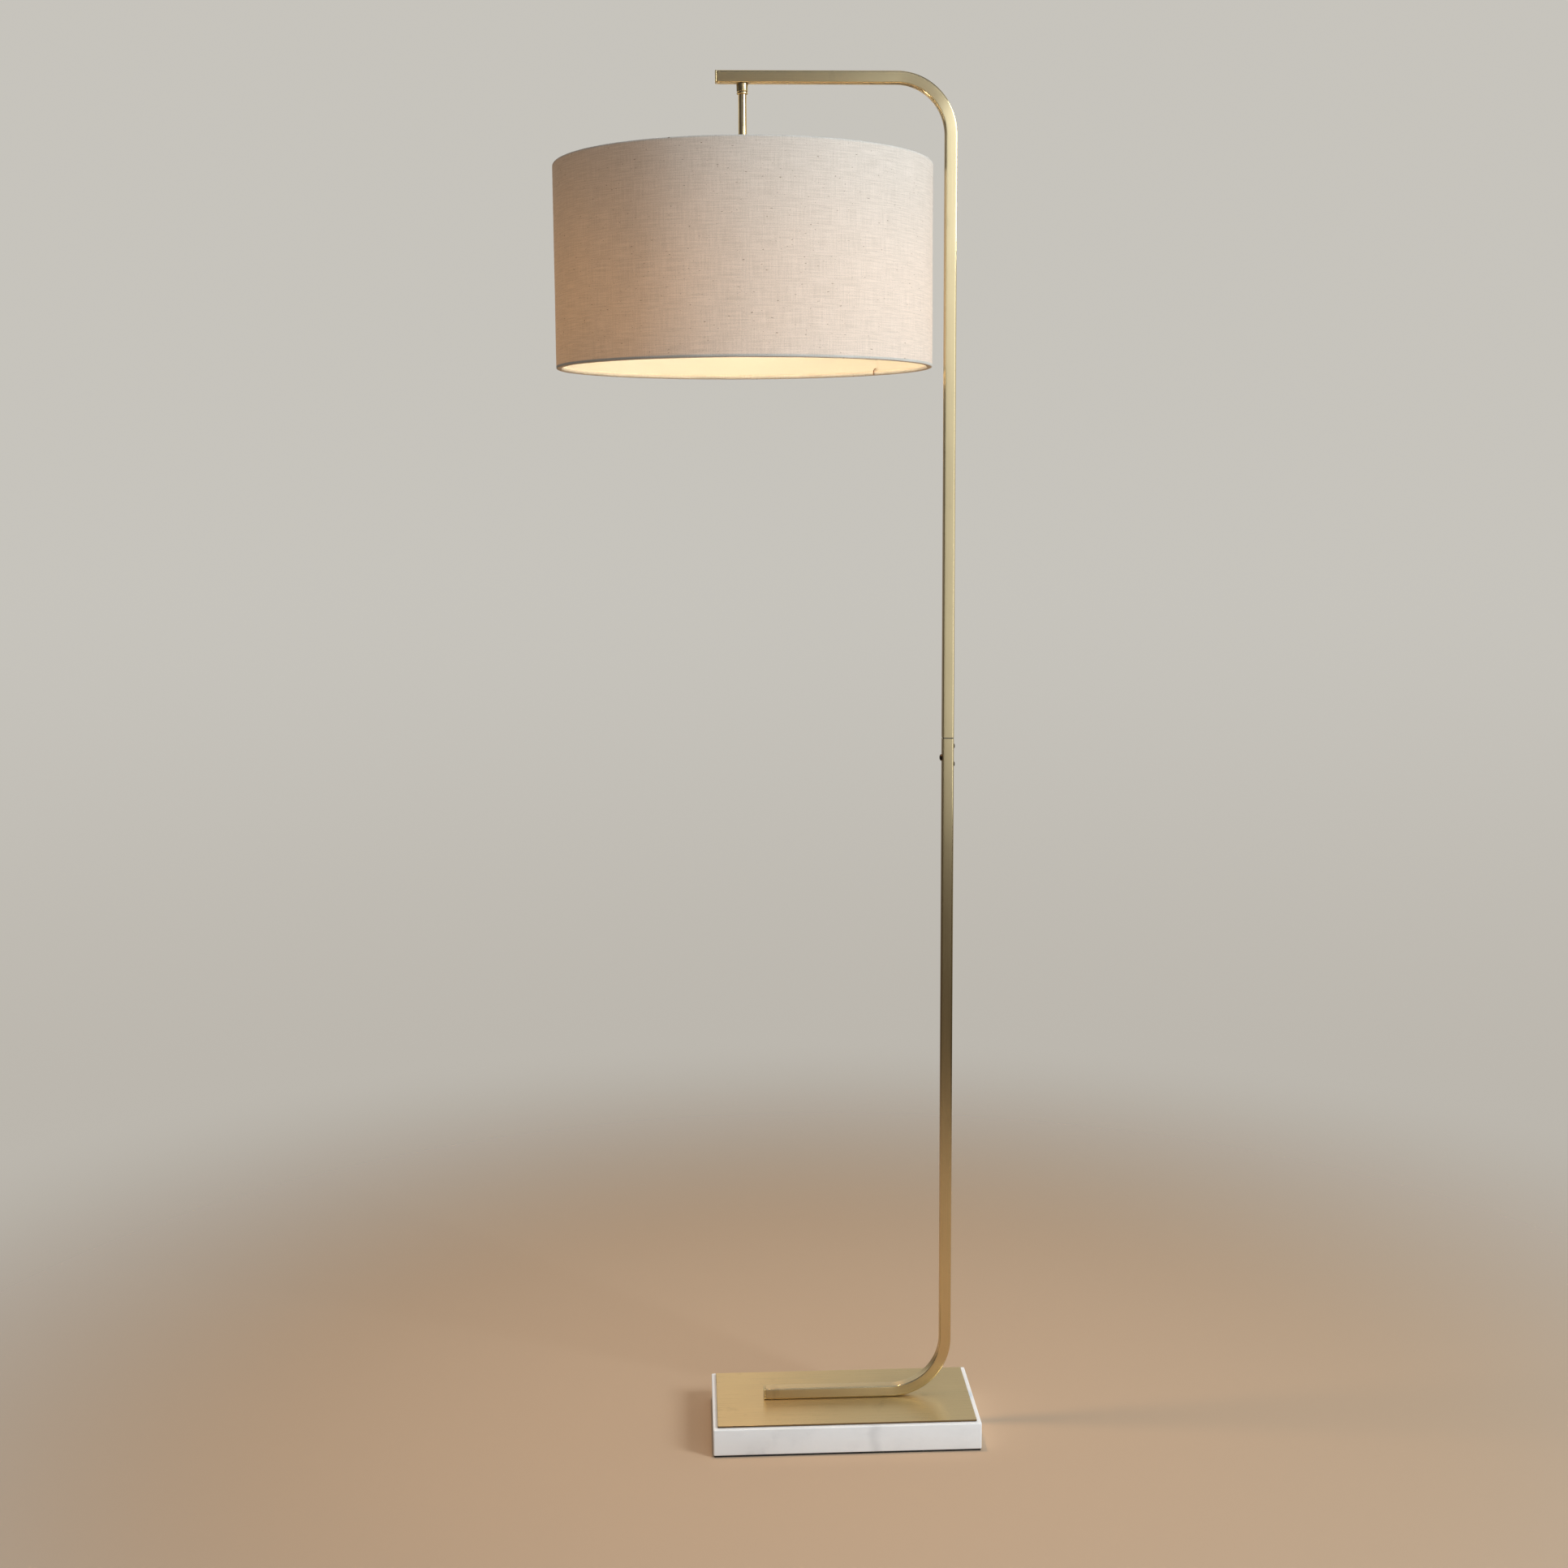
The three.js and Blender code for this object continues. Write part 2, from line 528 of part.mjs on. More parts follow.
function makeHolder() {
  const r = HOLDER_D / 2;
  const hole = ROD_D / 2 + GAP;
  const inner = r - HOLDER_SKIN;
  const foot = SKIRT_TOP + GAP;
  const shoulder = CAP_TOP - 15;
  const side = CAP_TOP - 20;
  const ceiling = CAP_TOP - 9;
  const cap = turned([[hole, CAP_TOP], [7, CAP_TOP], [8, CAP_TOP - 4], [13, CAP_TOP - 7], [r - 1, shoulder],
    [r, side], [r, foot], [inner, foot], [inner, side], [inner - 1, shoulder + 1], [12, ceiling],
    [hole, ceiling], [hole, CAP_TOP]]);
  add('holder_cap', cap, PLASTIC, [HANG_X, 0, 0]);

  const nutHeight = 3;
  const nutZ = ceiling - GAP - nutHeight / 2;
  const nut = at(rodAlong('z', 7.5, nutHeight, 6), 0, 0, nutZ);
  const nutBore = at(rodAlong('z', hole, 4 * nutHeight), 0, 0, nutZ);
  add('holder_lock_nut', cut(nut, [nutBore]), STEEL, [HANG_X, 0, 0]);

  const insertR = SKIRT_BORE_R - 0.4;
  const insertTop = SKIRT_TOP + 3;
  const insert = turned([[0, INSERT_BOTTOM], [insertR, INSERT_BOTTOM], [insertR, insertTop],
    [0, insertTop]]);
  const slots = [-1, 1].map((s) => at(new THREE.BoxGeometry(5, 6, 8), s * 8.5, 0, insertTop));
  add('holder_insert', cut(insert, slots), CERAMIC, [HANG_X, 0, 0]);

  // Skirt: a plain tube whose outside carries the ridges that the clamp ring screws on to.
  const chamfer = 0.8;
  const ridge = 0.7;
  const skirt = [[SKIRT_BORE_R, SKIRT_BOTTOM], [r - chamfer, SKIRT_BOTTOM], [r, SKIRT_BOTTOM + chamfer]];
  for (let z = SKIRT_BOTTOM + 2; z + THREAD_PITCH < SKIRT_TOP - 6; z += THREAD_PITCH) {
    skirt.push([r, z], [r - ridge, z + THREAD_PITCH * 0.35], [r, z + THREAD_PITCH * 0.7]);
  }
  skirt.push([r, SKIRT_TOP], [SKIRT_BORE_R, SKIRT_TOP], [SKIRT_BORE_R, SKIRT_BOTTOM]);
  add('holder_skirt', turned(skirt), PLASTIC, [HANG_X, 0, 0]);

  const contactTop = INSERT_BOTTOM - GAP;
  const shell = sleeve(SHELL_R - SHELL_WALL, SHELL_R, SKIRT_BOTTOM + 6, contactTop);
  add('holder_screw_shell', shell, POLISHED, [HANG_X, 0, 0]);

  const springThickness = CONTACT_HEIGHT / 2;
  const spring = at(new THREE.BoxGeometry(14, 5, springThickness), 3, 0, contactTop - springThickness / 2);
  const tip = at(new THREE.BoxGeometry(6, 5, CONTACT_HEIGHT), 0, 0, contactTop - CONTACT_HEIGHT / 2);
  add('holder_contact', join([spring, tip]), POLISHED, [HANG_X, 0, 0]);

  // Ring nut that clamps the shade's hub against the shoulder of the cap.
  const ringTop = HUB_Z - 1.6;
  const ringBottom = ringTop - CLAMP_RING_HEIGHT;
  const bore = r + GAP;
  const clampRing = turned([[bore, ringBottom], [CLAMP_RING_R - 2, ringBottom],
    [CLAMP_RING_R, ringBottom + 1.5], [CLAMP_RING_R, ringTop], [bore, ringTop], [bore, ringBottom]]);
  const gripR = CLAMP_RING_R + 0.4;
  const gripCount = 8;
  const grips = Array.from({ length: gripCount }, (_, i) => {
    const angle = i * 2 * Math.PI / gripCount;
    return at(rodAlong('z', 1.4, 12, 6), gripR * Math.cos(angle), gripR * Math.sin(angle), ringTop - 4);
  });
  add('shade_clamp_ring', cut(clampRing, grips), PLASTIC, [HANG_X, 0, 0]);
}

const BULB_TOP = INSERT_BOTTOM - GAP - CONTACT_HEIGHT - GAP;

function makeBulb() {
  const contactHeight = 2.2;
  const contactBottom = BULB_TOP - contactHeight;
  const capTop = contactBottom - GAP;
  const capBottom = capTop - BULB_CAP_HEIGHT;
  const contact = turned([[0, contactBottom], [6, contactBottom], [5, BULB_TOP - 0.8], [4, BULB_TOP],
    [0, BULB_TOP]]);
  add('bulb_contact', contact, POLISHED, [HANG_X, 0, 0]);

  // Screw cap: a thin cup whose wall carries the rounded ridges of its thread.
  const root = 12.6;
  const crest = 13.2;
  const lip = 12.9;
  const wall = 0.6;
  const threadTop = capTop - 4.5;
  const outside = [[0, capTop], [8, capTop], [12, capTop - 3.5]];
  const ridges = 3;
  for (let i = 0; i < ridges; i += 1) {
    const z = threadTop - i * THREAD_PITCH;
    outside.push([root, z], [crest, z - THREAD_PITCH * 0.35], [root, z - THREAD_PITCH * 0.7]);
  }
  outside.push([lip, capBottom]);
  const inside = [[lip - wall, capBottom], [root - 1, threadTop], [7.4, capTop - 1], [0, capTop - 1]];
  add('bulb_screw_cap', turned(outside.concat(inside)), STEEL, [HANG_X, 0, 0]);

  // Pear-shaped glass, open at the neck inside the cap.
  const ballZ = BULB_TOP - BULB_LENGTH + BULB_BALL_R;
  const neckTop = capBottom + 6;
  const profile = (radius, neckRadius) => {
    const points = [];
    const steps = 7;
    const start = -Math.PI / 2;
    const end = 0.5;
    for (let i = 0; i <= steps; i += 1) {
      const angle = start + (end - start) * i / steps;
      points.push([i === 0 ? 0 : radius * Math.cos(angle), ballZ + radius * Math.sin(angle)]);
    }
    points.push([neckRadius + 9, ballZ + 26], [neckRadius + 3.4, ballZ + 36]);
    points.push([neckRadius + 0.6, ballZ + 44]);
    points.push([neckRadius, neckTop - 8], [neckRadius, neckTop]);
    return points;
  };
  const outer = profile(BULB_BALL_R, BULB_NECK_R);
  const hollow = profile(BULB_BALL_R - GLASS_WALL, BULB_NECK_R - GLASS_WALL).reverse();
  add('bulb_glass', turned(outer.concat(hollow)), OPAL, [HANG_X, 0, 0]);
}

// ---------------------------------------------------------------- drum shade
function makeShade() {
  const fabricInner = SHADE_D / 2 - FABRIC_THICKNESS;
  add('shade_fabric', sleeve(fabricInner, SHADE_D / 2, SHADE_BOTTOM, SHADE_TOP, ROUND), LINEN, [HANG_X, 0, 0]);
  const liningOuter = fabricInner - GAP;
  const liningInner = liningOuter - LINING_THICKNESS;
  add('shade_lining', sleeve(liningInner, liningOuter, SHADE_BOTTOM + 0.6, SHADE_TOP - 0.6, ROUND),
    LINING, [HANG_X, 0, 0]);

  const wire = RING_WIRE_D / 2;
  const tuck = 1;
  const ringR = liningInner - GAP - wire;
  const lowRingZ = SHADE_BOTTOM + tuck + wire;
  const topRingZ = SHADE_TOP - tuck - wire;
  const wireRing = () => new THREE.TorusGeometry(ringR, wire, WIRE_SIDES, ROUND);
  add('shade_bottom_ring', wireRing(), WHITE_ENAMEL, [HANG_X, 0, lowRingZ]);

  // Top frame: ring, three sloping arms and a flat hub, welded into one piece.
  const hub = sleeve(HOLDER_D / 2 + 1, HUB_R, HUB_Z - 1.2, HUB_Z + 1.4);
  const arms = [0.5, 2.5, 4.5].map((turn) => {
    const angle = turn * Math.PI / 3;
    const flat = new THREE.Vector3(Math.cos(angle), Math.sin(angle), 0);
    const from = flat.clone().multiplyScalar(HUB_R - 2.4).setZ(HUB_Z + 1.2);
    const to = flat.clone().multiplyScalar(ringR).setZ(topRingZ);
    const length = from.distanceTo(to);
    const arm = new THREE.CylinderGeometry(ARM_WIRE_D / 2, ARM_WIRE_D / 2, length, WIRE_SIDES);
    arm.applyQuaternion(new THREE.Quaternion().setFromUnitVectors(
      new THREE.Vector3(0, 1, 0), to.clone().sub(from).normalize()));
    const middle = from.add(to).multiplyScalar(0.5);
    return at(arm, middle.x, middle.y, middle.z);
  });
  const topRing = at(wireRing(), 0, 0, topRingZ);
  add('shade_top_frame', join([hub, topRing, ...arms]), WHITE_ENAMEL, [HANG_X, 0, 0]);
}

makeBase();
makeLowerTube();
makeUpperTube();
makeJoint();
makeWiring();
makeSwivel();
makeHolder();
makeBulb();
makeShade();

export default lamp;
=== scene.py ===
"""Arc floor lamp: the looks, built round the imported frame. Metres, +Z up, the frame's own axes."""
import math

import bmesh
import bpy
from mathutils import Matrix, Vector, noise


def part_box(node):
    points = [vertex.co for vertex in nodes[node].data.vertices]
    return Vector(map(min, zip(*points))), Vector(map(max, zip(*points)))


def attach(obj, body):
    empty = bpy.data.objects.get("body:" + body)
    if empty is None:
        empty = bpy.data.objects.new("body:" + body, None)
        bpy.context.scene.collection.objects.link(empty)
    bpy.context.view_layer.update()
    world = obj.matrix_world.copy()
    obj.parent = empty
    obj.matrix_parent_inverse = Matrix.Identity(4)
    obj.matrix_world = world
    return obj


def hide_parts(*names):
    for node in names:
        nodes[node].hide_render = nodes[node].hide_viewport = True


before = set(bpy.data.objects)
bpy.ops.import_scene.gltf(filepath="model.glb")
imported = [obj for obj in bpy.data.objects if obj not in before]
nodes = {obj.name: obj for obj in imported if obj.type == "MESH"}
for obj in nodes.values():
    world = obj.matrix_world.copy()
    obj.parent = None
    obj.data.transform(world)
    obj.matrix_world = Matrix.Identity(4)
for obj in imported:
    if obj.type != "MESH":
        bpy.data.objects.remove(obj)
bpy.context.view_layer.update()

MM = 0.001
TURN = 2 * math.pi

# ---------- places taken from the frame
LOWER_LOW, LOWER_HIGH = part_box("lower_tube")
UPPER_LOW, UPPER_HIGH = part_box("upper_tube")
FABRIC_LOW, FABRIC_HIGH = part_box("shade_fabric")
BULB_LOW, BULB_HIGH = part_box("bulb_glass")
BULB_CAP_LOW, BULB_CAP_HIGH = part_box("bulb_screw_cap")
ROD_LOW, ROD_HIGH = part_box("drop_rod")
SKIRT_LOW, SKIRT_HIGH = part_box("holder_skirt")
CAP_LOW, CAP_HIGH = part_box("holder_cap")

TUBE = LOWER_HIGH.y - LOWER_LOW.y
HALF = TUBE / 2
POST_X = LOWER_HIGH.x - HALF
LEG_Z = LOWER_LOW.z + HALF
ARM_Z = UPPER_HIGH.z - HALF
JOINT_Z = (LOWER_HIGH.z + UPPER_LOW.z) / 2
AXIS_X = (FABRIC_LOW.x + FABRIC_HIGH.x) / 2  # the rod's and the shade's axis
SHADE_R = (FABRIC_HIGH.x - FABRIC_LOW.x) / 2
SHADE_BOTTOM = FABRIC_LOW.z
SHADE_TOP = FABRIC_HIGH.z
BULB_R = (BULB_HIGH.x - BULB_LOW.x) / 2
BULB_Z = BULB_LOW.z + BULB_R
HOLDER_R = (SKIRT_HIGH.x - SKIRT_LOW.x) / 2

LOW_BEND = 62 * MM  # bend radii on the tube's centre line
TOP_BEND = 58 * MM
TUBE_WALL = 1.2 * MM
TUBE_CORNER = 1.3 * MM
TUBE_CROWN = 0.15 * MM  # how far a face stands out in its middle
GAP = 0.3 * MM  # clearance between pieces that nearly touch
SEAM_ANGLE = math.radians(39)  # round from the right, towards the back
SEAM_WIDTH = 12 * MM


def new_object(name, data):
    """A new object in the scene."""
    obj = bpy.data.objects.new(name, data)
    bpy.context.scene.collection.objects.link(obj)
    return obj


# ---------- camera
CAMERA_PLACE = (-0.1662, -2.2298, 1.0627)
CAMERA_YAW = -0.0460  # radians; below zero turns it to the right
CAMERA_PITCH = -0.1411  # below zero looks down
CAMERA_ROLL = -0.0060
CAMERA_SENSOR = 36  # millimetres, and so is the lens
CAMERA_LENS = 47.09


def make_camera():
    data = bpy.data.cameras.new("camera")
    data.sensor_width = CAMERA_SENSOR
    data.lens = CAMERA_LENS
    data.clip_start = 0.05
    data.clip_end = 100
    camera = new_object("camera", data)
    yaw = Matrix.Rotation(CAMERA_YAW, 4, "Z")
    pitch = Matrix.Rotation(math.pi / 2 + CAMERA_PITCH, 4, "X")
    roll = Matrix.Rotation(CAMERA_ROLL, 4, "Z")
    camera.matrix_world = Matrix.Translation(CAMERA_PLACE) @ (yaw @ pitch @ roll)
    bpy.context.scene.camera = camera


make_camera()


# ---------- node graphs
class Graph:
    """A material's node tree, with a Principled shader at its end."""

    def __init__(self, name, **shader):
        self.material = bpy.data.materials.new(name)
        self.material.use_nodes = True
        self.tree = self.material.node_tree
        self.shader = self.tree.nodes["Principled BSDF"]
        for socket, value in shader.items():
            self.set(socket.replace("_", " "), value)

    def set(self, socket, value):
        self.plug(self.shader.inputs[socket], value)

    def plug(self, target, value):
        if isinstance(value, bpy.types.NodeSocket):
            self.tree.links.new(value, target)
        elif target.type == "RGBA" and len(value) == 3:
            target.default_value = (*value, 1)
        else:
            target.default_value = value

    def add(self, kind, inputs=None, **settings):
        node = self.tree.nodes.new("ShaderNode" + kind)
        for key, value in settings.items():
            setattr(node, key, value)
        for key, value in (inputs or {}).items():
            self.plug(node.inputs[key], value)
        return node

    def math(self, operation, a, b=0.0, c=0.0, clamp=False):
        node = self.add("Math", {0: a, 1: b, 2: c}, operation=operation, use_clamp=clamp)
        return node.outputs[0]

    def plus(self, a, b):
        return self.math("ADD", a, b)

    def minus(self, a, b):
        return self.math("SUBTRACT", a, b)

    def times(self, a, b):
        return self.math("MULTIPLY", a, b)

    def mix(self, amount, low, high):
        node = self.add("Mix", {0: amount, 6: low, 7: high}, data_type="RGBA")
        return node.outputs[2]

    def scaled(self, vector, scale):
        return self.add("VectorMath", {0: vector, 1: scale}, operation="MULTIPLY").outputs[0]

    def noise(self, vector, scale, detail=2.0, roughness=0.5):
        settings = {"Vector": self.scaled(vector, scale), "Scale": 1.0}
        settings.update(Detail=detail, Roughness=roughness)
        return self.add("TexNoise", settings).outputs["Fac"]

    def axes(self, vector):
        """The vector's x, y and z."""
        return self.add("SeparateXYZ", {0: vector}).outputs[:3]

    def band(self, value, low, high):
        """0 up to low, 1 from high on, smooth between them. With low above high it falls instead."""
        node = self.add("MapRange", {0: value, 1: low, 2: high, 3: 0.0, 4: 1.0},
                        interpolation_type="SMOOTHSTEP", clamp=True)
        return node.outputs[0]

    def bump(self, height, distance, strength=1.0):
        node = self.add("Bump", {"Height": height, "Distance": distance, "Strength": strength})
        self.set("Normal", node.outputs[0])

    def uv(self):
        return self.add("UVMap", uv_map="UVMap").outputs[0]

    def place(self):
        """The point on the piece, in metres in the shared frame."""
        return self.add("TexCoord").outputs["Object"]


def tinted(colour, amount):
    return tuple(channel * amount for channel in colour)


# ---------- metals
TUBE_BRASS = (0.78, 0.63, 0.375)
PLATE_BRASS = (0.77, 0.605, 0.33)
BRASS_IN_LINES = 0.81  # tones of the brass, as shares of its colour
# tone of the tarnish spots, also used as painted shade at the seam between the two tubes
BRASS_TARNISH_AND_SHADE = 0.2
TURNED_BRASS = (0.76, 0.61, 0.36)
TURNED_BRASS_DULL = (0.60, 0.45, 0.24)


def corners_of_tube(g, u):
    """1 on a square tube's round corners and 0 on its faces, from the distance u round the tube."""
    arc = math.pi / 2 * TUBE_CORNER
    side = TUBE - 2 * TUBE_CORNER + arc
    off_corner = g.math("PINGPONG", g.minus(u, arc / 2), side / 2)
    return g.band(off_corner, 0.6 * arc, 0.35 * arc)


def brushed_brass(name, colour, roughness, anisotropy, polish=0.0):
    """Satin brass with fine lines that run along V, so that its gloss spreads along U. polish is the share
    of its roughness that the tube's corners have lost."""
    g = Graph(name, Metallic=1.0, Anisotropic=anisotropy)
    uv = g.uv()
    lines = g.noise(uv, (2600, 9, 1), 4, 0.65)
    streaks = g.noise(uv, (420, 4, 1), 2)
    cloud = g.noise(g.place(), (7, 7, 7), 3)
    tarnish = g.band(g.noise(g.place(), (34, 34, 12), 4, 0.6), 0.62, 0.8)
    streaks_and_cloud = g.plus(g.times(streaks, 0.06), g.times(cloud, 0.44))
    tone = g.plus(g.times(lines, 0.5), streaks_and_cloud)
    metal = g.mix(g.band(tone, 0.3, 0.7), tinted(colour, BRASS_IN_LINES), colour)
    z = g.axes(g.place())[2]
    off_joint = g.math("ABSOLUTE", g.minus(z, JOINT_Z))
    # painted shade: a narrow dark band along the seam where the upper tube meets the lower; tarnish spots
    # darken the brass too
    joint_shade = g.minus(1.0, g.band(off_joint, 0.3 * MM, 0.9 * MM))
    dull = g.math("MAXIMUM", g.times(tarnish, 0.28), g.times(joint_shade, 0.9))
    g.set("Base Color", g.mix(dull, metal, tinted(colour, BRASS_TARNISH_AND_SHADE)))
    grain = g.times(g.minus(lines, 0.5), 0.12)
    rough = g.plus(grain, g.math("MULTIPLY_ADD", streaks, 0.03, roughness - 0.015))
    corner = corners_of_tube(g, g.axes(uv)[0])
    g.set("Roughness", g.times(rough, g.math("MULTIPLY_ADD", corner, -polish, 1.0)))
    g.set("Tangent", g.add("Tangent", direction_type="UV_MAP", uv_map="UVMap").outputs[0])
    g.bump(lines, 0.006 * MM, 0.5)
    return g.material


def turned_brass(name, tone, roughness):
    """Polished brass with faint rings from the lathe."""
    g = Graph(name, Metallic=1.0)
    at = g.place()
    rings = g.noise(at, (20, 20, 2400), 3)
    spots = g.noise(at, (150, 150, 60), 3)
    dull, bright = tinted(TURNED_BRASS_DULL, tone), tinted(TURNED_BRASS, tone)
    g.set("Base Color", g.mix(g.band(spots, 0.35, 0.65), dull, bright))
    turned_lines = g.times(rings, 0.06)
    g.set("Roughness", g.plus(turned_lines, g.math("MULTIPLY_ADD", spots, 0.08, roughness - 0.07)))
    g.bump(rings, 0.01 * MM, 0.4)
    return g.material


def plain_metal(name, colour, roughness, grain=300):
    """Plated or blackened metal with a fine even grain; also the dark metal painted as shade on the top
    plate's edges.
    """
    g = Graph(name, Metallic=1.0)
    spots = g.noise(g.place(), (grain,) * 3, 4)
    g.set("Base Color", g.mix(spots, tinted(colour, 0.75), colour))
    g.set("Roughness", g.math("MULTIPLY_ADD", spots, 0.16, roughness - 0.08))
    g.bump(spots, 0.03 * MM, 0.4)
    return g.material


# ---------- mouldings, stone and glass
def moulded(name, colour, roughness, grain=700, depth=0.05):
    """Moulded plastic, rubber, enamel or ceramic with a fine surface grain."""
    g = Graph(name)
    grit = g.noise(g.place(), (grain,) * 3, 3)
    wide = g.noise(g.place(), (40, 40, 40), 2)
    g.set("Base Color", g.mix(wide, tinted(colour, 0.84), colour))
    g.set("Roughness", g.math("MULTIPLY_ADD", grit, 0.2, roughness - 0.1))
    g.bump(grit, depth * MM, 0.5)
    return g.material


MARBLE = (0.96, 0.985, 1.0)
MARBLE_GREY = (0.49, 0.51, 0.53)
VEIN_X = 32 * MM
PATCH_X = -104 * MM


def marble():
    """White marble with soft grey clouds, one faint upright vein and a cloudy patch near the left end."""
    g = Graph("honed_marble", IOR=1.5, Specular_IOR_Level=0.4)
    at = g.place()
    drift = g.add("TexNoise", {"Vector": g.scaled(at, (14, 14, 20)), "Scale": 1.0, "Detail": 3.0})
    moved = g.scaled(drift.outputs["Color"], (0.03, 0.03, 0.03))
    moved = g.add("VectorMath", {0: moved, 1: (0.015, 0.015, 0.015)}, operation="SUBTRACT").outputs[0]
    shifted = g.add("VectorMath", {0: at, 1: moved}, operation="ADD").outputs[0]
    x, _, z = g.axes(shifted)
    off_vein = g.math("ABSOLUTE", g.minus(x, VEIN_X))
    vein = g.minus(1.0, g.band(off_vein, 0.0, 10 * MM))
    off_patch = g.math("ABSOLUTE", g.minus(x, PATCH_X))
    patch = g.minus(1.0, g.band(off_patch, 4 * MM, 34 * MM))
    low = g.minus(1.0, g.band(z, 8 * MM, 30 * MM))
    cloud = g.band(g.noise(shifted, (22, 22, 34), 4, 0.55), 0.44, 0.72)
    wisps = g.band(g.noise(shifted, (55, 55, 90), 4, 0.6), 0.5, 0.75)
    patch = g.times(patch, low)
    patch = g.times(patch, g.math("MULTIPLY_ADD", cloud, 0.5, 0.14))
    grey = g.plus(g.times(vein, 0.27), patch)
    all_over = g.math("MULTIPLY_ADD", cloud, 0.11, g.times(wisps, 0.07))
    grey = g.math("ADD", grey, all_over, clamp=True)
    grain = g.noise(at, (900, 900, 900), 2)
    pale = g.mix(grain, tinted(MARBLE, 0.98), MARBLE)
    g.set("Base Color", g.mix(grey, pale, MARBLE_GREY))
    g.set("Roughness", g.math("MULTIPLY_ADD", grain, 0.12, 0.34))
    g.bump(grain, 0.02 * MM, 0.3)
    return g.material


LINING = (0.82, 0.78, 0.69)
LINING_DEEP = (0.79, 0.75, 0.65)
SEAM_FOOT_BROWN = (0.40, 0.22, 0.09)


def lining_film():
    """Smooth backing film, brown near the overlap's edge at its foot."""
    g = Graph("lining_film", Roughness=0.5)
    uv = g.uv()
    pores = g.noise(uv, (500, 500, 1), 3)
    waves = g.noise(uv, (9, 14, 1), 2)
    x, y, _ = g.axes(uv)
    off_edge = g.math("ABSOLUTE", g.minus(x, SEAM_ANGLE * SHADE_R))
    at_edge = g.band(off_edge, 3 * MM, 1 * MM)
    at_foot = g.band(y, SHADE_BOTTOM + 10 * MM, SHADE_BOTTOM)
    seam_foot_mark = g.times(at_edge, at_foot)
    g.set("Base Color", g.mix(seam_foot_mark, g.mix(waves, LINING_DEEP, LINING), SEAM_FOOT_BROWN))
    g.bump(g.math("MULTIPLY_ADD", waves, 3.0, pores), 0.08 * MM, 0.5)
    return g.material


OPAL = (0.93, 0.89, 0.8)
BULB_LIGHT = (1.0, 0.79, 0.545)
BULB_STRENGTH = 34.0


def opal_glass():
    """The lit bulb's glass, dimmer towards its neck."""
    g = Graph("opal_glass", Roughness=0.25, Base_Color=OPAL, Emission_Strength=BULB_STRENGTH)
    at = g.place()
    z = g.axes(at)[2]
    haze = g.noise(at, (60, 60, 60), 2)
    neck = g.band(z, BULB_Z + 12 * MM, BULB_HIGH.z - 12 * MM)
    lit = g.mix(haze, tinted(BULB_LIGHT, 0.97), BULB_LIGHT)
    g.set("Emission Color", g.mix(neck, lit, tinted(BULB_LIGHT, 0.3)))
    return g.material


# ---------- linen
THREAD = 0.62 * MM  # from one thread to the next
RIM_BAND = 3.4 * MM  # height of the hem that lets little light through
# strength and colour of the painted glow: emission that stands in for the bulb's light through the cloth
GLOW = 0.24
GLOW_COLOUR = (1.0, 0.44, 0.10)
LINEN = (0.785, 0.76, 0.71)
LINEN_DARK = (0.585, 0.555, 0.50)
FLECK = (0.20, 0.13, 0.08)


def weave(g, uv):
    """Plain weave with uneven threads. Gives its height, the threads' tone and dark flecks, each 0 to 1."""
    x, y, _ = g.axes(uv)
    pitch = math.pi / THREAD
    warp = g.math("SINE", g.times(x, pitch))
    weft = g.math("SINE", g.times(y, pitch))
    crossing = g.math("MULTIPLY_ADD", g.times(warp, weft), 0.5, 0.5)
    across = g.noise(uv, (34, 900, 1), 3, 0.6)
    upright = g.noise(uv, (1000, 40, 1), 3, 0.6)
    fine = g.noise(uv, (900, 1100, 1), 2, 0.7)
    threads = g.plus(g.times(across, 0.38), g.times(upright, 0.26))
    threads = g.math("MULTIPLY_ADD", fine, 0.36, threads)
    flecks = g.band(g.noise(uv, (210, 620, 1), 2, 0.5), 0.69, 0.735)
    height = g.math("MULTIPLY_ADD", crossing, 0.3, threads)
    return height, g.band(threads, 0.38, 0.62), flecks


def glow_through(g, v):
    """Painted light of the bulb through the cloth, as emission: inverse square and a slanting path, but
    little at the hems.
    """
    rise = g.math("DIVIDE", g.minus(v, BULB_Z - SHADE_BOTTOM), SHADE_R)
    spread = g.math("POWER", g.math("MULTIPLY_ADD", rise, rise, 1.0), -1.6)
    top = SHADE_TOP - SHADE_BOTTOM
    above = g.band(v, RIM_BAND * 0.7, RIM_BAND * 1.2)
    below = g.minus(1.0, g.band(v, top - RIM_BAND, top))
    under = g.minus(1.0, g.band(v, 0.4 * MM, 1.4 * MM))
    wall = g.times(above, below)
    return g.times(spread, g.math("MULTIPLY_ADD", under, 0.4, wall))


def linen():
    """Natural linen with uneven threads and dark flecks, with the bulb's light through it painted on as
    emission.
    """
    g = Graph("natural_linen", Roughness=0.92, Specular_IOR_Level=0.2, Sheen_Weight=0.1,
              Sheen_Roughness=0.5, Emission_Strength=1.0)
    uv = g.uv()
    height, tone, flecks = weave(g, uv)
    wide = g.noise(uv, (14, 9, 1), 3)
    cloth = g.mix(g.math("MULTIPLY_ADD", tone, 0.8, g.times(wide, 0.2)), LINEN_DARK, LINEN)
    g.set("Base Color", g.mix(g.times(flecks, 0.8), cloth, FLECK))
    g.bump(height, 0.16 * MM, 0.5)
    v = g.axes(uv)[1]
    thin = g.math("MULTIPLY_ADD", tone, 0.3, g.math("MULTIPLY_ADD", wide, 0.3, 0.7))
    thin = g.times(thin, g.math("MULTIPLY_ADD", flecks, -0.5, 1.0))
    # painted light: the glow through the cloth, as emission
    light = g.times(g.times(glow_through(g, v), thin), GLOW)
    glow = g.add("VectorMath", {0: GLOW_COLOUR, 3: light}, operation="SCALE").outputs[0]
    g.set("Emission Color", glow)
    return g.material


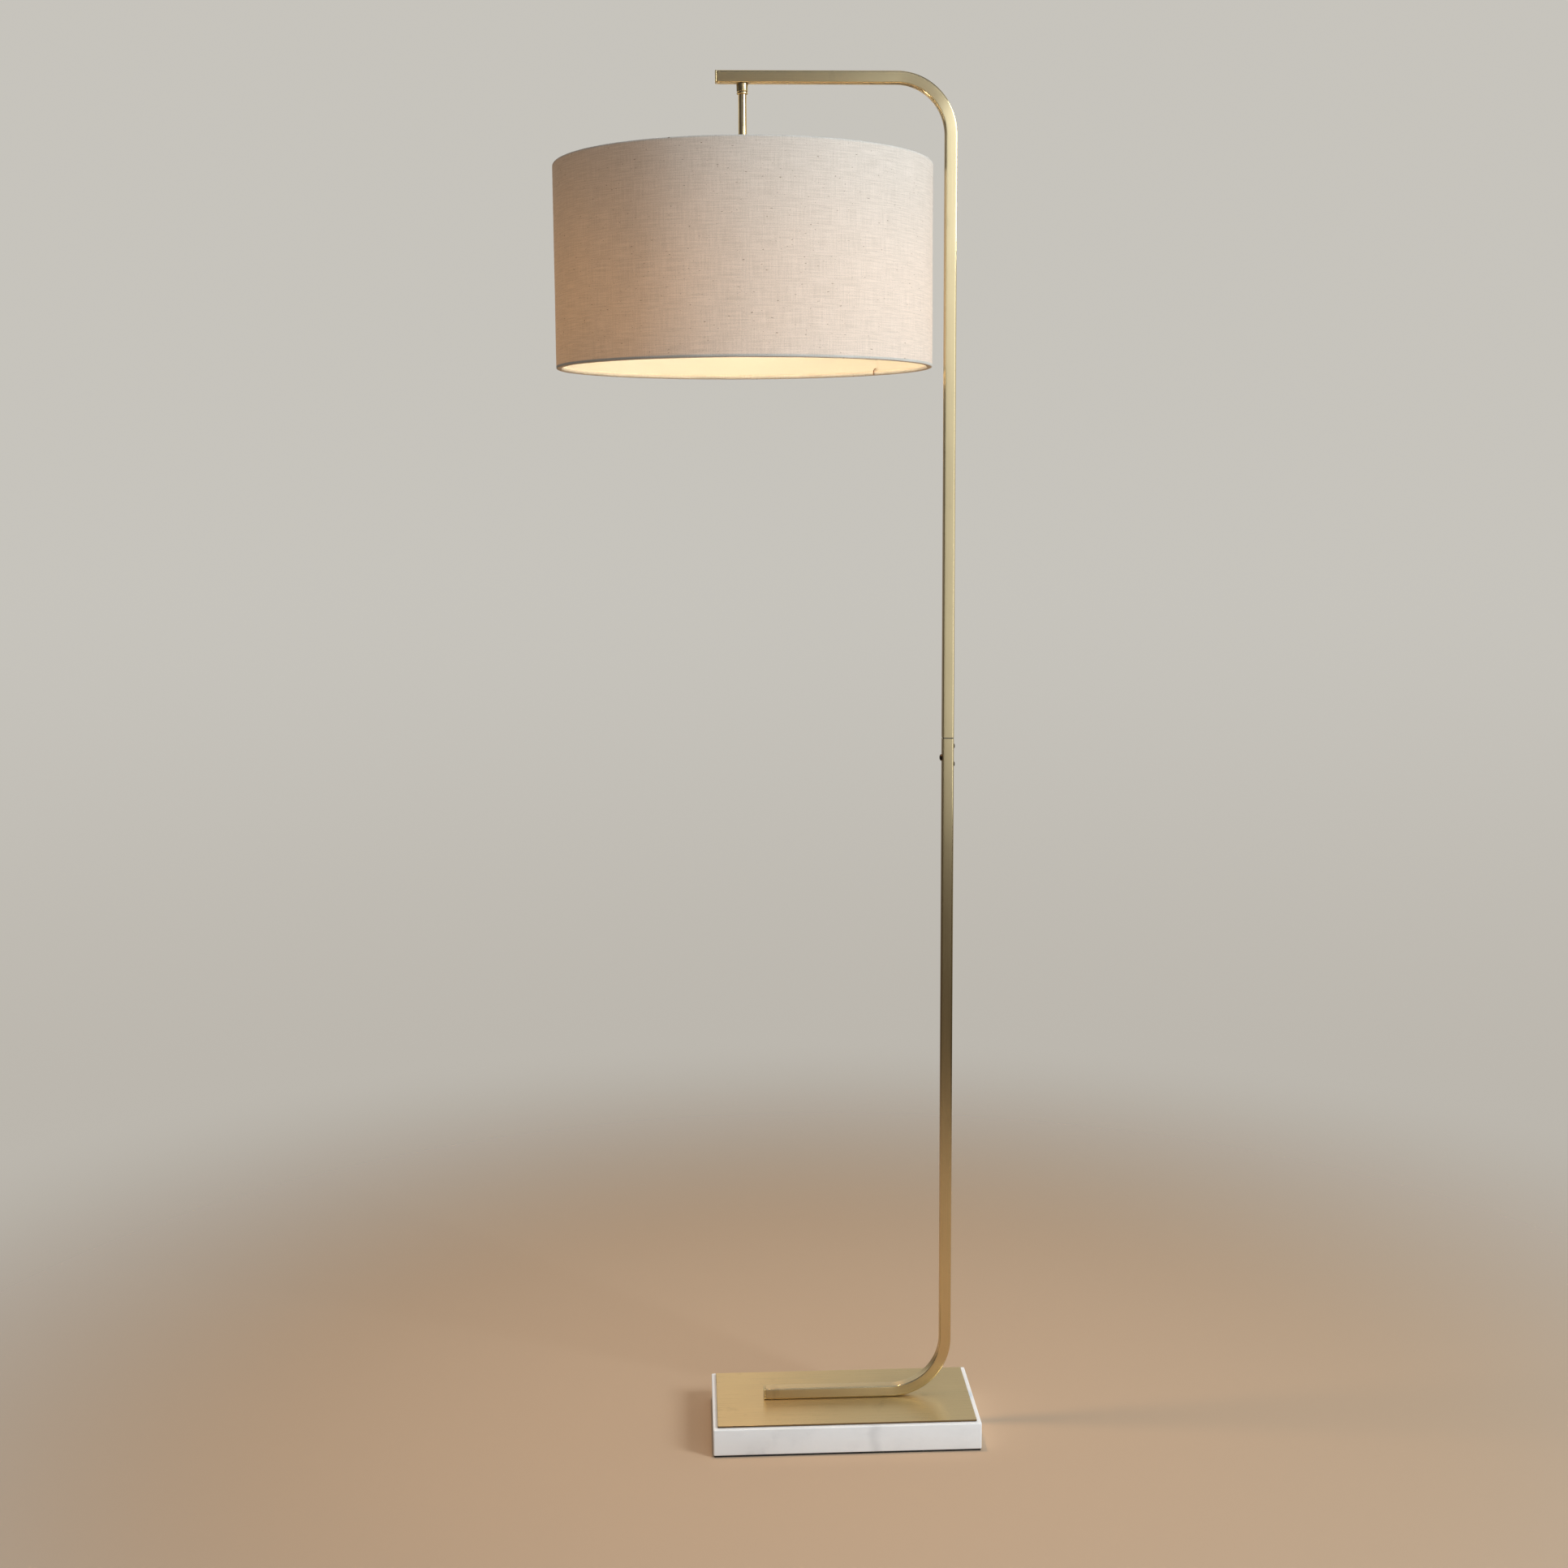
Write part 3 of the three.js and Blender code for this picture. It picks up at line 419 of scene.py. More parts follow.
# ---------- the materials, each made once
brass_tube = brushed_brass("brushed_brass_tube", TUBE_BRASS, roughness=0.31, anisotropy=0.88, polish=0.6)
brass_sheet = brushed_brass("brushed_brass_plate", PLATE_BRASS, roughness=0.29, anisotropy=0.9)
brass_turned = turned_brass("turned_brass", tone=1.0, roughness=0.12)
# a darker copy of the turned brass for the collar: painted shade, as the polished collar mirrors the dim
# room
brass_collar_shaded = turned_brass("turned_brass_painted_shade", tone=0.7, roughness=0.2)
# a dark brass tone for the top plate's edges: painted shade
plate_edge_shade = plain_metal("plate_edge_painted_shade", (0.22, 0.15, 0.08), 0.5)
zinc = plain_metal("zinc_steel", (0.52, 0.52, 0.50), 0.38)
black_steel = plain_metal("blackened_steel", (0.04, 0.031, 0.026), 0.42)
nickel = plain_metal("nickel_plate", (0.70, 0.68, 0.64), 0.2, 120)
rubber = moulded("base_rubber", (0.025, 0.025, 0.025), 0.85, 500, 0.15)
phenolic = moulded("black_phenolic", (0.022, 0.021, 0.02), 0.42)
sheath = moulded("flex_sheath", (0.70, 0.67, 0.60), 0.55)
ceramic = moulded("white_ceramic", (0.82, 0.81, 0.77), 0.5, 900)
enamel = moulded("white_enamel", (0.80, 0.79, 0.75), 0.38, 400, 0.08)
stone = marble()
linen_cloth = linen()
film = lining_film()
# the seam's rolled end is natural linen; its dark brown here is painted shade
shaded_rolled_edge = moulded("shaded_rolled_edge", (0.27, 0.13, 0.045), 0.9, 2500, 0.1)
opal = opal_glass()


# ---------- mesh helpers
def fillet(points, radius, steps=4):
    """Rounds the corners of a closed outline. A point may carry its own radius as a third number."""
    out = []
    count = len(points)
    for i, point in enumerate(points):
        here = Vector(point[:2])
        r = point[2] if len(point) > 2 else radius
        before = Vector(points[i - 1][:2]) - here
        after = Vector(points[(i + 1) % count][:2]) - here
        half_angle = before.angle(after) / 2
        if r <= 0 or half_angle > math.radians(88):
            out.append(here)
            continue
        reach = min(r / math.tan(half_angle), 0.49 * before.length, 0.49 * after.length)
        r = reach * math.tan(half_angle)
        start = here + before.normalized() * reach
        end = here + after.normalized() * reach
        inwards = (before.normalized() + after.normalized()).normalized()
        centre = here + inwards * (r / math.sin(half_angle))
        a, b = start - centre, end - centre
        sweep = a.angle_signed(b)
        for k in range(steps + 1):
            turn = -sweep * k / steps
            c, s = math.cos(turn), math.sin(turn)
            out.append(centre + Vector((a.x * c - a.y * s, a.x * s + a.y * c)))
    return out


def grid_mesh(name, rows, uvs, wrap_rows, wrap_columns, caps=False):
    """A mesh of quads from rows of points. uvs(i, j) gives the UV of row i's point j."""
    count = len(rows[0])
    verts = [p for row in rows for p in row]
    faces, corner_uvs = [], []
    last_row = len(rows) if wrap_rows else len(rows) - 1
    last_column = count if wrap_columns else count - 1
    for i in range(last_row):
        for j in range(last_column):
            i2, j2 = (i + 1) % len(rows), (j + 1) % count
            faces.append((i * count + j, i * count + j2, i2 * count + j2, i2 * count + j))
            corner_uvs += [uvs(i, j), uvs(i, j + 1), uvs(i + 1, j + 1), uvs(i + 1, j)]
    if caps:
        backwards = range(count - 1, -1, -1)
        for i, order in ((0, backwards), (len(rows) - 1, range(count))):
            faces.append(tuple(i * count + j for j in order))
            corner_uvs += [uvs(i, j) for j in order]
    mesh = bpy.data.meshes.new(name)
    mesh.from_pydata(verts, [], faces)
    layer = mesh.uv_layers.new(name="UVMap")
    for loop, uv in zip(layer.data, corner_uvs):
        loop.uv = uv
    return mesh


def merged(name, meshes):
    """One mesh out of several."""
    bm = bmesh.new()
    for mesh in meshes:
        bm.from_mesh(mesh)
    whole = bpy.data.meshes.new(name)
    bm.to_mesh(whole)
    bm.free()
    return whole


def finish_mesh(mesh, sharp_degrees=40):
    """Closes the mesh, turns its faces outwards and shades them smooth, apart from real edges."""
    bm = bmesh.new()
    bm.from_mesh(mesh)
    bmesh.ops.remove_doubles(bm, verts=bm.verts, dist=1e-7)
    bmesh.ops.dissolve_degenerate(bm, edges=bm.edges, dist=1e-7)
    bmesh.ops.recalc_face_normals(bm, faces=bm.faces)
    bm.to_mesh(mesh)
    bm.free()
    for polygon in mesh.polygons:
        polygon.use_smooth = True
    mesh.set_sharp_from_angle(angle=math.radians(sharp_degrees))


def piece(mesh, material, body, slot, *replaced):
    """Adds the mesh as a piece of the same name, in place of the CAD nodes it replaces."""
    finish_mesh(mesh)
    obj = new_object(mesh.name, mesh)
    mesh.materials.append(material)
    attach(obj, body)
    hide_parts(*replaced)
    return obj


def turned(name, outline, segments=96, place=Matrix.Translation((AXIS_X, 0, 0))):
    """A closed (radius, height) outline turned about its own upright axis. A radius may be a function of
    the angle, for a thread, a flat or a grip."""
    rows = []
    for i in range(segments):
        angle = TURN * i / segments
        row = []
        for radius, z in outline:
            r = radius(angle) if callable(radius) else radius
            row.append(tuple(place @ Vector((r * math.cos(angle), r * math.sin(angle), z))))
        rows.append(row)
    first = [radius(0) if callable(radius) else radius for radius, _ in outline]
    widest = max(first)
    lengths = [0.0]
    for j in range(len(outline)):
        k = (j + 1) % len(outline)
        lengths.append(lengths[-1] + math.hypot(first[k] - first[j], outline[k][1] - outline[j][1]))

    def uvs(i, j):
        return (lengths[j], TURN * widest * i / segments)

    return grid_mesh(name, rows, uvs, True, True)


def rounded_outline(points, radius=0.3 * MM, steps=3):
    return [(p.x, p.y) for p in fillet(points, radius, steps)]


def wire(name, points, radii, sides=18):
    """A round wire through the points, with a radius at each."""
    rows, travelled = [], [0.0]
    for a, b in zip(points, points[1:]):
        travelled.append(travelled[-1] + (b - a).length)
    for i, point in enumerate(points):
        along = (points[min(i + 1, len(points) - 1)] - points[max(i - 1, 0)]).normalized()
        side = along.cross(Vector((0, 0, 1))).normalized()
        up = side.cross(along)
        row = []
        for k in range(sides):
            angle = TURN * k / sides
            row.append(tuple(point + (side * math.cos(angle) + up * math.sin(angle)) * radii[i]))
        rows.append(row)

    def uvs(i, j):
        return (TURN * radii[0] * j / sides, travelled[i])

    return grid_mesh(name, rows, uvs, False, True, caps=True)


# ---------- square tube
def square_section(size, corner, crown=0.0):
    """A square with round corners. Its faces fall off from the middle by the crown, as drawn tube's do."""
    h = size / 2
    outline = fillet([(h, h), (-h, h), (-h, -h), (h, -h)], corner, 6)
    if not crown:
        return outline
    section = []
    for a, b in zip(outline, outline[1:] + outline[:1]):
        pieces = 8 if (b - a).length > h else 1
        section += [a.lerp(b, k / pieces) for k in range(pieces)]
    crowned = []
    for p in section:
        x = p.x * (1 - crown * p.y ** 2 / h ** 3)
        y = p.y * (1 - crown * p.x ** 2 / h ** 3)
        crowned.append(Vector((x, y)))
    return crowned


def square_tube(name, path, chamfer=0.45 * MM):
    """The hollow tube along a path in the plane y = 0, a list of (x, z, heading)."""
    outer = square_section(TUBE, TUBE_CORNER, TUBE_CROWN)
    shrunk = square_section(TUBE - 2 * chamfer, TUBE_CORNER, TUBE_CROWN)
    bore = square_section(TUBE - 2 * TUBE_WALL, 0.2 * MM, TUBE_CROWN / 2)

    def ring(x, z, heading, section):
        side = Vector((-math.sin(heading), 0, math.cos(heading)))
        return [tuple(Vector((x, 0, z)) + side * p.x + Vector((0, p.y, 0))) for p in section]

    def shifted(station, distance):
        x, z, heading = station
        return (x + distance * math.cos(heading), z + distance * math.sin(heading), heading)

    stations = [path[0], shifted(path[0], chamfer), *path[1:-1], shifted(path[-1], -chamfer), path[-1]]
    along = [0.0]
    for (x0, z0, _), (x1, z1, _) in zip(stations, stations[1:]):
        along.append(along[-1] + math.hypot(x1 - x0, z1 - z0))
    last = len(stations) - 1
    rows = [ring(*station, shrunk if i in (0, last) else outer) for i, station in enumerate(stations)]
    rows += [ring(*station, bore) for station in reversed(stations)]
    along += along[::-1]
    around = [0.0]
    for a, b in zip(outer, outer[1:] + outer[:1]):
        around.append(around[-1] + (a - b).length)

    def uvs(i, j):
        return (around[j], along[i % len(along)])

    return grid_mesh(name, rows, uvs, True, True)


def quarter_bend(path, x, z, radius, start, steps=40):
    """Carries the path on round a quarter circle about (x, z), from this angle."""
    for k in range(1, steps + 1):
        angle = start + math.pi / 2 * k / steps
        path.append((x + radius * math.cos(angle), z + radius * math.sin(angle), angle + math.pi / 2))


def straight(path, x, z, steps=12):
    """Carries the path straight on to (x, z)."""
    x0, z0, heading = path[-1]
    for k in range(1, steps + 1):
        path.append((x0 + (x - x0) * k / steps, z0 + (z - z0) * k / steps, heading))


def make_tubes():
    path = [(LOWER_LOW.x, LEG_Z, 0.0)]
    straight(path, POST_X - LOW_BEND, LEG_Z)
    quarter_bend(path, POST_X - LOW_BEND, LEG_Z + LOW_BEND, LOW_BEND, -math.pi / 2)
    straight(path, POST_X, LOWER_HIGH.z)
    piece(square_tube("lower_pole", path), brass_tube, "stand", "brushed_brass", "lower_tube")

    path = [(POST_X, UPPER_LOW.z, math.pi / 2)]
    straight(path, POST_X, ARM_Z - TOP_BEND)
    quarter_bend(path, POST_X - TOP_BEND, ARM_Z - TOP_BEND, TOP_BEND, 0.0)
    straight(path, UPPER_LOW.x, ARM_Z)
    piece(square_tube("upper_pole", path), brass_tube, "stand", "brushed_brass", "upper_tube")


def make_end_plate(node):
    """The small plate that closes a tube's end, with rounded edges and its plug."""
    low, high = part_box(node)
    middle = (low.z + high.z) / 2
    plug = TUBE - 2 * TUBE_WALL - 2 * GAP
    plate = 1.5 * MM
    layers = [(0.0, 0.7 * MM), (0.08 * MM, 0.3 * MM), (0.3 * MM, 0.0), (plate - 0.2 * MM, 0.0),
              (plate, 0.2 * MM)]
    sections = [(x, square_section(TUBE - inset, TUBE_CORNER)) for x, inset in layers]
    plug_section = square_section(plug, 0.4 * MM)
    sections += [(plate, plug_section), (high.x - low.x, plug_section)]
    rows = [[(low.x + x, p.y, middle + p.x) for p in section] for x, section in sections]

    def uvs(i, j):
        _, y, z = rows[i][j % len(rows[0])]
        return (z, y)

    mesh = grid_mesh(node + "_plate", rows, uvs, False, True, caps=True)
    piece(mesh, brass_sheet, "stand", "brushed_brass", node)


make_tubes()
make_end_plate("leg_end_cap")
make_end_plate("arm_end_cap")


# ---------- screws and cord inlet
def hexagon(across):
    """Radius of a hexagon with this distance from its centre to its flats, as a function of the angle."""
    def radius(angle):
        return across / math.cos((angle % (math.pi / 3)) - math.pi / 6)
    return radius


def make_screw(node, side, key):
    """A domed screw in the post's left (side -1) or right (side 1) face, with a hexagon socket this wide
    from its centre to its flats."""
    low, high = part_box(node)
    face = POST_X + side * HALF
    head = (high.z - low.z) / 2
    outer = high.x - face if side > 0 else face - low.x
    inner = face - low.x if side > 0 else high.x - face
    shank = 0.56 * head
    crown = outer - GAP
    outline = [(0.0, -inner), (shank, -inner), (shank, GAP), (head * 0.96, GAP)]
    outline.append((head, GAP + 0.12 * crown))
    for k in range(11):
        rise = math.radians(6 * k)
        outline.append((head * math.cos(rise), GAP + crown * (0.3 + 0.7 * math.sin(rise))))
    outline += [(hexagon(key * 1.08), outer - 0.1 * MM), (hexagon(key), outer - 0.2 * MM),
                (hexagon(key), outer - 0.62 * crown), (0.0, outer - 0.7 * crown)]
    middle = Matrix.Translation((face, 0, (low.z + high.z) / 2))
    place = middle @ Matrix.Rotation(side * math.pi / 2, 4, "Y")
    mesh = turned(node + "_head", outline, 72, place)
    piece(mesh, black_steel, "stand", "black_steel", node)


def make_gland():
    """The cord's rubber gland in the back of the post."""
    low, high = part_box("cord_gland")
    flange = (high.x - low.x) / 2
    out, inside = high.y - HALF, HALF - low.y
    bore, neck = 2.6 * MM, 3.65 * MM
    points = [(bore, -inside), (neck, -inside), (neck, GAP, 0.1 * MM), (flange, GAP), (flange, 0.55 * out),
              (flange * 0.86, out, 0.5 * MM), (bore + 0.5 * MM, out, 0.3 * MM), (bore, out - 0.5 * MM)]
    middle = Matrix.Translation((POST_X, HALF, (low.z + high.z) / 2))
    place = middle @ Matrix.Rotation(-math.pi / 2, 4, "X")
    mesh = turned("gland", rounded_outline(points), 72, place)
    piece(mesh, rubber, "stand", "black_rubber", "cord_gland")


make_screw("joint_button_screw", side=-1, key=1.25 * MM)
make_screw("joint_pan_screw_upper", side=1, key=0.8 * MM)
make_screw("joint_pan_screw_lower", side=1, key=0.8 * MM)
make_gland()


# ---------- base
def block(name, low, high, edge, corner, steps=4):
    """A block with rounded edges and upright corners, as stacked outlines. V runs along its length."""
    middle = (low + high) / 2
    width, depth = high.x - low.x, high.y - low.y

    def outline(inset):
        w, d = width / 2 - inset, depth / 2 - inset
        return fillet([(w, d), (-w, d), (-w, -d), (w, -d)], max(corner - inset, 0.05 * MM), 6)

    turns = [k / steps * math.pi / 2 for k in range(steps + 1)]
    rise = [(edge * (1 - math.cos(a)), edge * (1 - math.sin(a))) for a in turns]
    levels = [(low.z, 3 * edge)]
    levels += [(low.z + up, inset) for up, inset in rise]
    levels += [(high.z - down, inset) for down, inset in reversed(rise)]
    levels += [(high.z, 3 * edge)]
    rows = [[(middle.x + p.x, middle.y + p.y, z) for p in outline(inset)] for z, inset in levels]

    def uvs(i, j):
        x, y, z = rows[i][j % len(rows[0])]
        return (y + z, x)

    return grid_mesh(name, rows, uvs, False, True, caps=True)


def make_base():
    mesh = block("base_felt", *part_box("base_pad"), edge=0.4 * MM, corner=1 * MM)
    piece(mesh, rubber, "stand", "base_rubber", "base_pad")
    mesh = block("slab", *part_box("marble_slab"), edge=1.0 * MM, corner=1.6 * MM)
    piece(mesh, stone, "stand", "white_marble", "marble_slab")
    mesh = block("top_plate", *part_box("brass_plate"), edge=0.3 * MM, corner=0.8 * MM)
    plate = piece(mesh, brass_sheet, "stand", "brushed_brass", "brass_plate")
    # the plate's edges get the dark metal: painted shade
    plate.data.materials.append(plate_edge_shade)
    for polygon in plate.data.polygons:
        polygon.material_index = 0 if polygon.normal.z > 0.9 else 1


make_base()


# ---------- swivel and rod
def make_swivel():
    """The collar under the arm, the ring below its groove and the rod."""
    bore = 3.7 * MM
    low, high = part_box("swivel_collar")
    wide = (high.x - low.x) / 2
    foot = wide - 0.3 * MM
    points = [(bore, low.z), (foot - 0.5 * MM, low.z), (foot, low.z + 0.5 * MM), (wide, high.z - 0.4 * MM),
              (wide - 0.4 * MM, high.z), (bore, high.z)]
    mesh = turned("collar", rounded_outline(points))
    piece(mesh, brass_collar_shaded, "stand", "polished_brass", "swivel_collar")

    low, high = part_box("rod_check_ring")
    wide = (high.x - low.x) / 2
    inner = 4.8 * MM
    points = [(inner, low.z), (wide, low.z, 0.7 * MM), (wide, high.z, 0.7 * MM), (inner, high.z)]
    mesh = turned("check_ring", rounded_outline(points))
    piece(mesh, brass_turned, "pendant", "polished_brass", "rod_check_ring")

    r = (ROD_HIGH.x - ROD_LOW.x) / 2
    points = [(bore, ROD_LOW.z), (r, ROD_LOW.z), (r, ROD_HIGH.z), (bore, ROD_HIGH.z)]
    mesh = turned("rod", rounded_outline(points, 0.4 * MM))
    piece(mesh, brass_turned, "pendant", "polished_brass", "drop_rod")


make_swivel()


# ---------- lampholder
BULB_PITCH = 3.6 * MM


def ribbed(radius, depth, count):
    """A radius with rounded upright grooves round it."""
    return lambda angle: radius - depth * (0.5 + 0.5 * math.cos(count * angle)) ** 2


def thread(root, crest, pitch, z):
    """A radius on a rounded screw thread at height z."""
    return lambda angle: root + (crest - root) * (0.5 + 0.5 * math.cos(TURN * z / pitch - angle))


def make_holder_shell():
    """The lampholder's cap: a smooth dome round the rod's end, and a ribbed wall below it."""
    r = HOLDER_R
    skin = 1.6 * MM
    top, foot = CAP_HIGH.z, CAP_LOW.z
    bore = ROD_HIGH.x - AXIS_X + GAP
    shoulder = top - 15 * MM
    steps = 5
    points = [(bore, top - 8 * MM), (bore, top), (7 * MM, top, 1 * MM), (8 * MM, top - 4 * MM, 2 * MM),
              (13 * MM, top - 7 * MM, 5 * MM), (r - 0.5 * MM, shoulder, 4 * MM),
              (r - 0.4 * MM, shoulder - 3 * MM)]
    smooth = rounded_outline(points, 0.3 * MM, steps)
    smooth = smooth[:-(steps + 1)]  # without the last corner, where the ribs go on
    levels = [shoulder - 2.6 * MM, shoulder - 3.4 * MM, foot + 2.8 * MM, foot + 2 * MM]
    depths = [0.0, 0.45 * MM, 0.45 * MM, 0.0]
    ribs = [(ribbed(r, depth, 48), z) for z, depth in zip(levels, depths)]
    inside = [(r, foot + 0.3 * MM), (r - 0.3 * MM, foot), (r - skin, foot), (r - skin, shoulder),
              (13 * MM, top - 9 * MM), (bore, top - 9 * MM)]
    mesh = turned("holder_shell", smooth + ribs + inside, 288)
    piece(mesh, phenolic, "pendant", "black_phenolic", "holder_cap")


def make_holder_sleeve():
    """The lampholder's skirt, with the thread that the ring nut turns on."""
    r = HOLDER_R
    low, high = SKIRT_LOW.z, SKIRT_HIGH.z
    bore, pitch = 16 * MM, 4 * MM
    steps = 40
    threads = []
    for k in range(steps + 1):
        z = low + 2 * MM + (high - 6 * MM - low - 2 * MM) * k / steps
        ease = min(1.0, 4 * k / steps, 4 * (steps - k) / steps)
        threads.append((thread(r - 0.9 * MM * ease, r, pitch, z), z))
    outline = [(bore, low + 0.6 * MM), (bore + 0.6 * MM, low), (r - 0.8 * MM, low), (r, low + 0.8 * MM)]
    outline += threads + [(r, high), (bore, high)]
    mesh = turned("holder_sleeve", outline, 120)
    piece(mesh, phenolic, "pendant", "black_phenolic", "holder_skirt")


def make_clamp_ring():
    """The ring nut under the shade's hub, with grips round its rim."""
    low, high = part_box("shade_clamp_ring")
    wide, bore = (high.x - low.x) / 2, HOLDER_R + GAP
    levels = [low.z + 1.4 * MM, low.z + 2 * MM, high.z - 1.8 * MM, high.z - 1.2 * MM]
    depths = [0.0, 0.9 * MM, 0.9 * MM, 0.0]
    grips = [(ribbed(wide, depth, 24), z) for z, depth in zip(levels, depths)]
    outline = [(bore, low.z + 0.4 * MM), (bore + 0.4 * MM, low.z), (wide - 1 * MM, low.z)]
    outline += grips + [(wide, high.z - 0.3 * MM), (wide - 0.3 * MM, high.z), (bore, high.z)]
    mesh = turned("clamp_ring", outline, 288)
    piece(mesh, phenolic, "clamp_ring", "black_phenolic", "shade_clamp_ring")


def make_screw_shell():
    """The brass thread inside the lampholder, of even thickness."""
    low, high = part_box("holder_screw_shell")
    wide, wall = (high.x - low.x) / 2, 0.35 * MM
    steps = 36
    levels = [low.z + (high.z - low.z) * k / steps for k in range(steps + 1)]
    root = wide - 0.6 * MM
    outline = [(thread(root, wide, BULB_PITCH, z), z) for z in levels]
    outline += [(thread(root - wall, wide - wall, BULB_PITCH, z), z) for z in reversed(levels)]
    mesh = turned("screw_shell", outline, 96)
    piece(mesh, brass_turned, "pendant", "polished_brass", "holder_screw_shell")


make_holder_shell()
make_holder_sleeve()
make_clamp_ring()
make_screw_shell()


# ---------- bulb
def make_bulb_cap():
    """The bulb's screw cap, with its thread, and its contact."""
    low, high = BULB_CAP_LOW, BULB_CAP_HIGH
    crest = (high.x - low.x) / 2
    root, wall = crest - 0.7 * MM, 0.4 * MM
    steps = 36
    levels = [low.z + 2 * MM + 16 * MM * k / steps for k in range(steps + 1)]
    outline = [(crest - 0.2 * MM, low.z)]
    for k, z in enumerate(levels):
        ease = min(1.0, k / 4, (steps - k) / 4)
        outline.append((thread(root, root + (crest - root) * ease, BULB_PITCH, z), z))
    collar = high.z - 4 * MM
    outline += [(root, collar), (root - 1.2 * MM, collar + 1.4 * MM), (8 * MM, high.z - 0.3 * MM),
                (7.6 * MM, high.z), (0.0, high.z), (0.0, high.z - 1 * MM), (7 * MM, high.z - 1 * MM),
                (root - wall - 1.2 * MM, collar), (root - wall, levels[-1]), (root - wall, low.z)]
    mesh = turned("bulb_cap", outline, 96)
    piece(mesh, nickel, "bulb", "nickel_plate", "bulb_screw_cap")

    low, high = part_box("bulb_contact")
    points = [(0.0, low.z, 0), (6 * MM, low.z), (4.6 * MM, high.z - 0.5 * MM, 0.8 * MM),
              (2.6 * MM, high.z, 0.8 * MM), (0.0, high.z, 0)]
    mesh = turned("bulb_tip", rounded_outline(points), 48)
    piece(mesh, brass_turned, "bulb", "polished_brass", "bulb_contact")


def pear(ball, neck, top):
    """Half the glass's outline: up the ball, then along a smooth shoulder to the neck."""
    leave = 0.5  # radians above the ball's middle
    steps = 24
    outline = []
    for k in range(steps + 1):
        angle = -math.pi / 2 + (leave + math.pi / 2) * k / steps
        outline.append((ball * math.cos(angle), BULB_Z + ball * math.sin(angle)))
    pull = 15 * MM
    start = Vector(outline[-1])
    a = start + Vector((-math.sin(leave), math.cos(leave))) * pull
    end = Vector((neck, BULB_Z + 46 * MM))
    b = end - Vector((0, pull))
    steps = 16
    for k in range(1, steps + 1):
        t = k / steps
        p = start * (1 - t) ** 3 + a * 3 * t * (1 - t) ** 2 + b * 3 * t * t * (1 - t) + end * t ** 3
        outline.append((p.x, p.y))
    return outline + [(neck, top)]


def make_bulb_glass():
    neck, glass = 11.2 * MM, 0.9 * MM
    outside = pear(BULB_R, neck, BULB_HIGH.z)
    inside = pear(BULB_R - glass, neck - glass, BULB_HIGH.z)
    mesh = turned("bulb_envelope", outside + inside[::-1], 96)
    piece(mesh, opal, "bulb", "opal_glass", "bulb_glass")


make_bulb_cap()
make_bulb_glass()


# ---------- shade frame
def ring_of_wire(name, low, high, wire_r, centre_z):
    """A ring of round wire that fills the box from low to high, and its radius."""
    ring_r = (high.x - low.x) / 2 - wire_r
    sides = 20
    outline = []
    for k in range(sides):
        angle = TURN * k / sides
        outline.append((ring_r + wire_r * math.cos(angle), centre_z + wire_r * math.sin(angle)))
    return turned(name, outline, 240), ring_r


def make_shade_frame():
    """The bottom ring, and the top frame: a ring, a hub and three spokes, welded into one piece."""
    low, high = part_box("shade_bottom_ring")
    wire_r = (high.z - low.z) / 2
    mesh, _ = ring_of_wire("bottom_ring", low, high, wire_r, (low.z + high.z) / 2)
    piece(mesh, enamel, "shade", "white_wire", "shade_bottom_ring")

    low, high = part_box("shade_top_frame")
    ring, ring_r = ring_of_wire("top_ring", low, high, wire_r, high.z - wire_r)
    hub_bottom = SKIRT_HIGH.z - 3.2 * MM
    hub_top = SKIRT_HIGH.z - 0.6 * MM
    inner, outer = HOLDER_R + 1 * MM, 26 * MM
    points = [(inner, hub_bottom), (outer, hub_bottom), (outer, hub_top), (inner, hub_top)]
    hub = turned("hub", rounded_outline(points, 0.7 * MM))
    start_r, start_z = outer - 2.4 * MM, hub_top - 0.2 * MM
    parts = [ring, hub]
    steps = 24
    for spoke in range(3):
        angle = math.pi / 6 + spoke * TURN / 3
        flat = Vector((math.cos(angle), math.sin(angle), 0))
        points, radii = [], []
        for k in range(steps + 1):
            t = k / steps
            z = start_z + (high.z - wire_r - start_z) * t
            points.append(Vector((AXIS_X, 0, z)) + flat * (start_r + (ring_r - start_r) * t))
            weld = max(0.0, 1 - min(k, steps - k) / 1.2)
            radii.append(wire_r * (0.95 + 0.04 * weld))
        parts.append(wire("spoke", points, radii))
    piece(merged("spider", parts), enamel, "shade", "white_wire", "shade_top_frame")


make_shade_frame()


# ---------- shade cloth and lining
SHEET = 0.7 * MM  # thickness of the cloth


def seam_angles(count):
    """Even steps round the shade, with a sharp step at each edge of the overlap."""
    sharp = 0.25 * MM / SHADE_R
    edges = (SEAM_ANGLE, SEAM_ANGLE + SEAM_WIDTH / SHADE_R)
    extra = [edge + offset for edge in edges for offset in (-8 * sharp, -sharp, sharp, 8 * sharp)]
    return sorted([TURN * i / count for i in range(count)] + extra)


def on_seam(angle):
    return 0.0 < angle - SEAM_ANGLE < SEAM_WIDTH / SHADE_R


def sheet_profile(centreline, thickness):
    """The closed outline of a sheet of this thickness along an open centreline of (r, z)."""
    left, right = [], []
    for i, point in enumerate(centreline):
        before = centreline[max(i - 1, 0)]
        after = centreline[min(i + 1, len(centreline) - 1)]
        along = (after - before).normalized()
        normal = Vector((along.y, -along.x)) * thickness / 2
        left.append(point + normal)
        right.append(point - normal)
    return left + right[::-1]


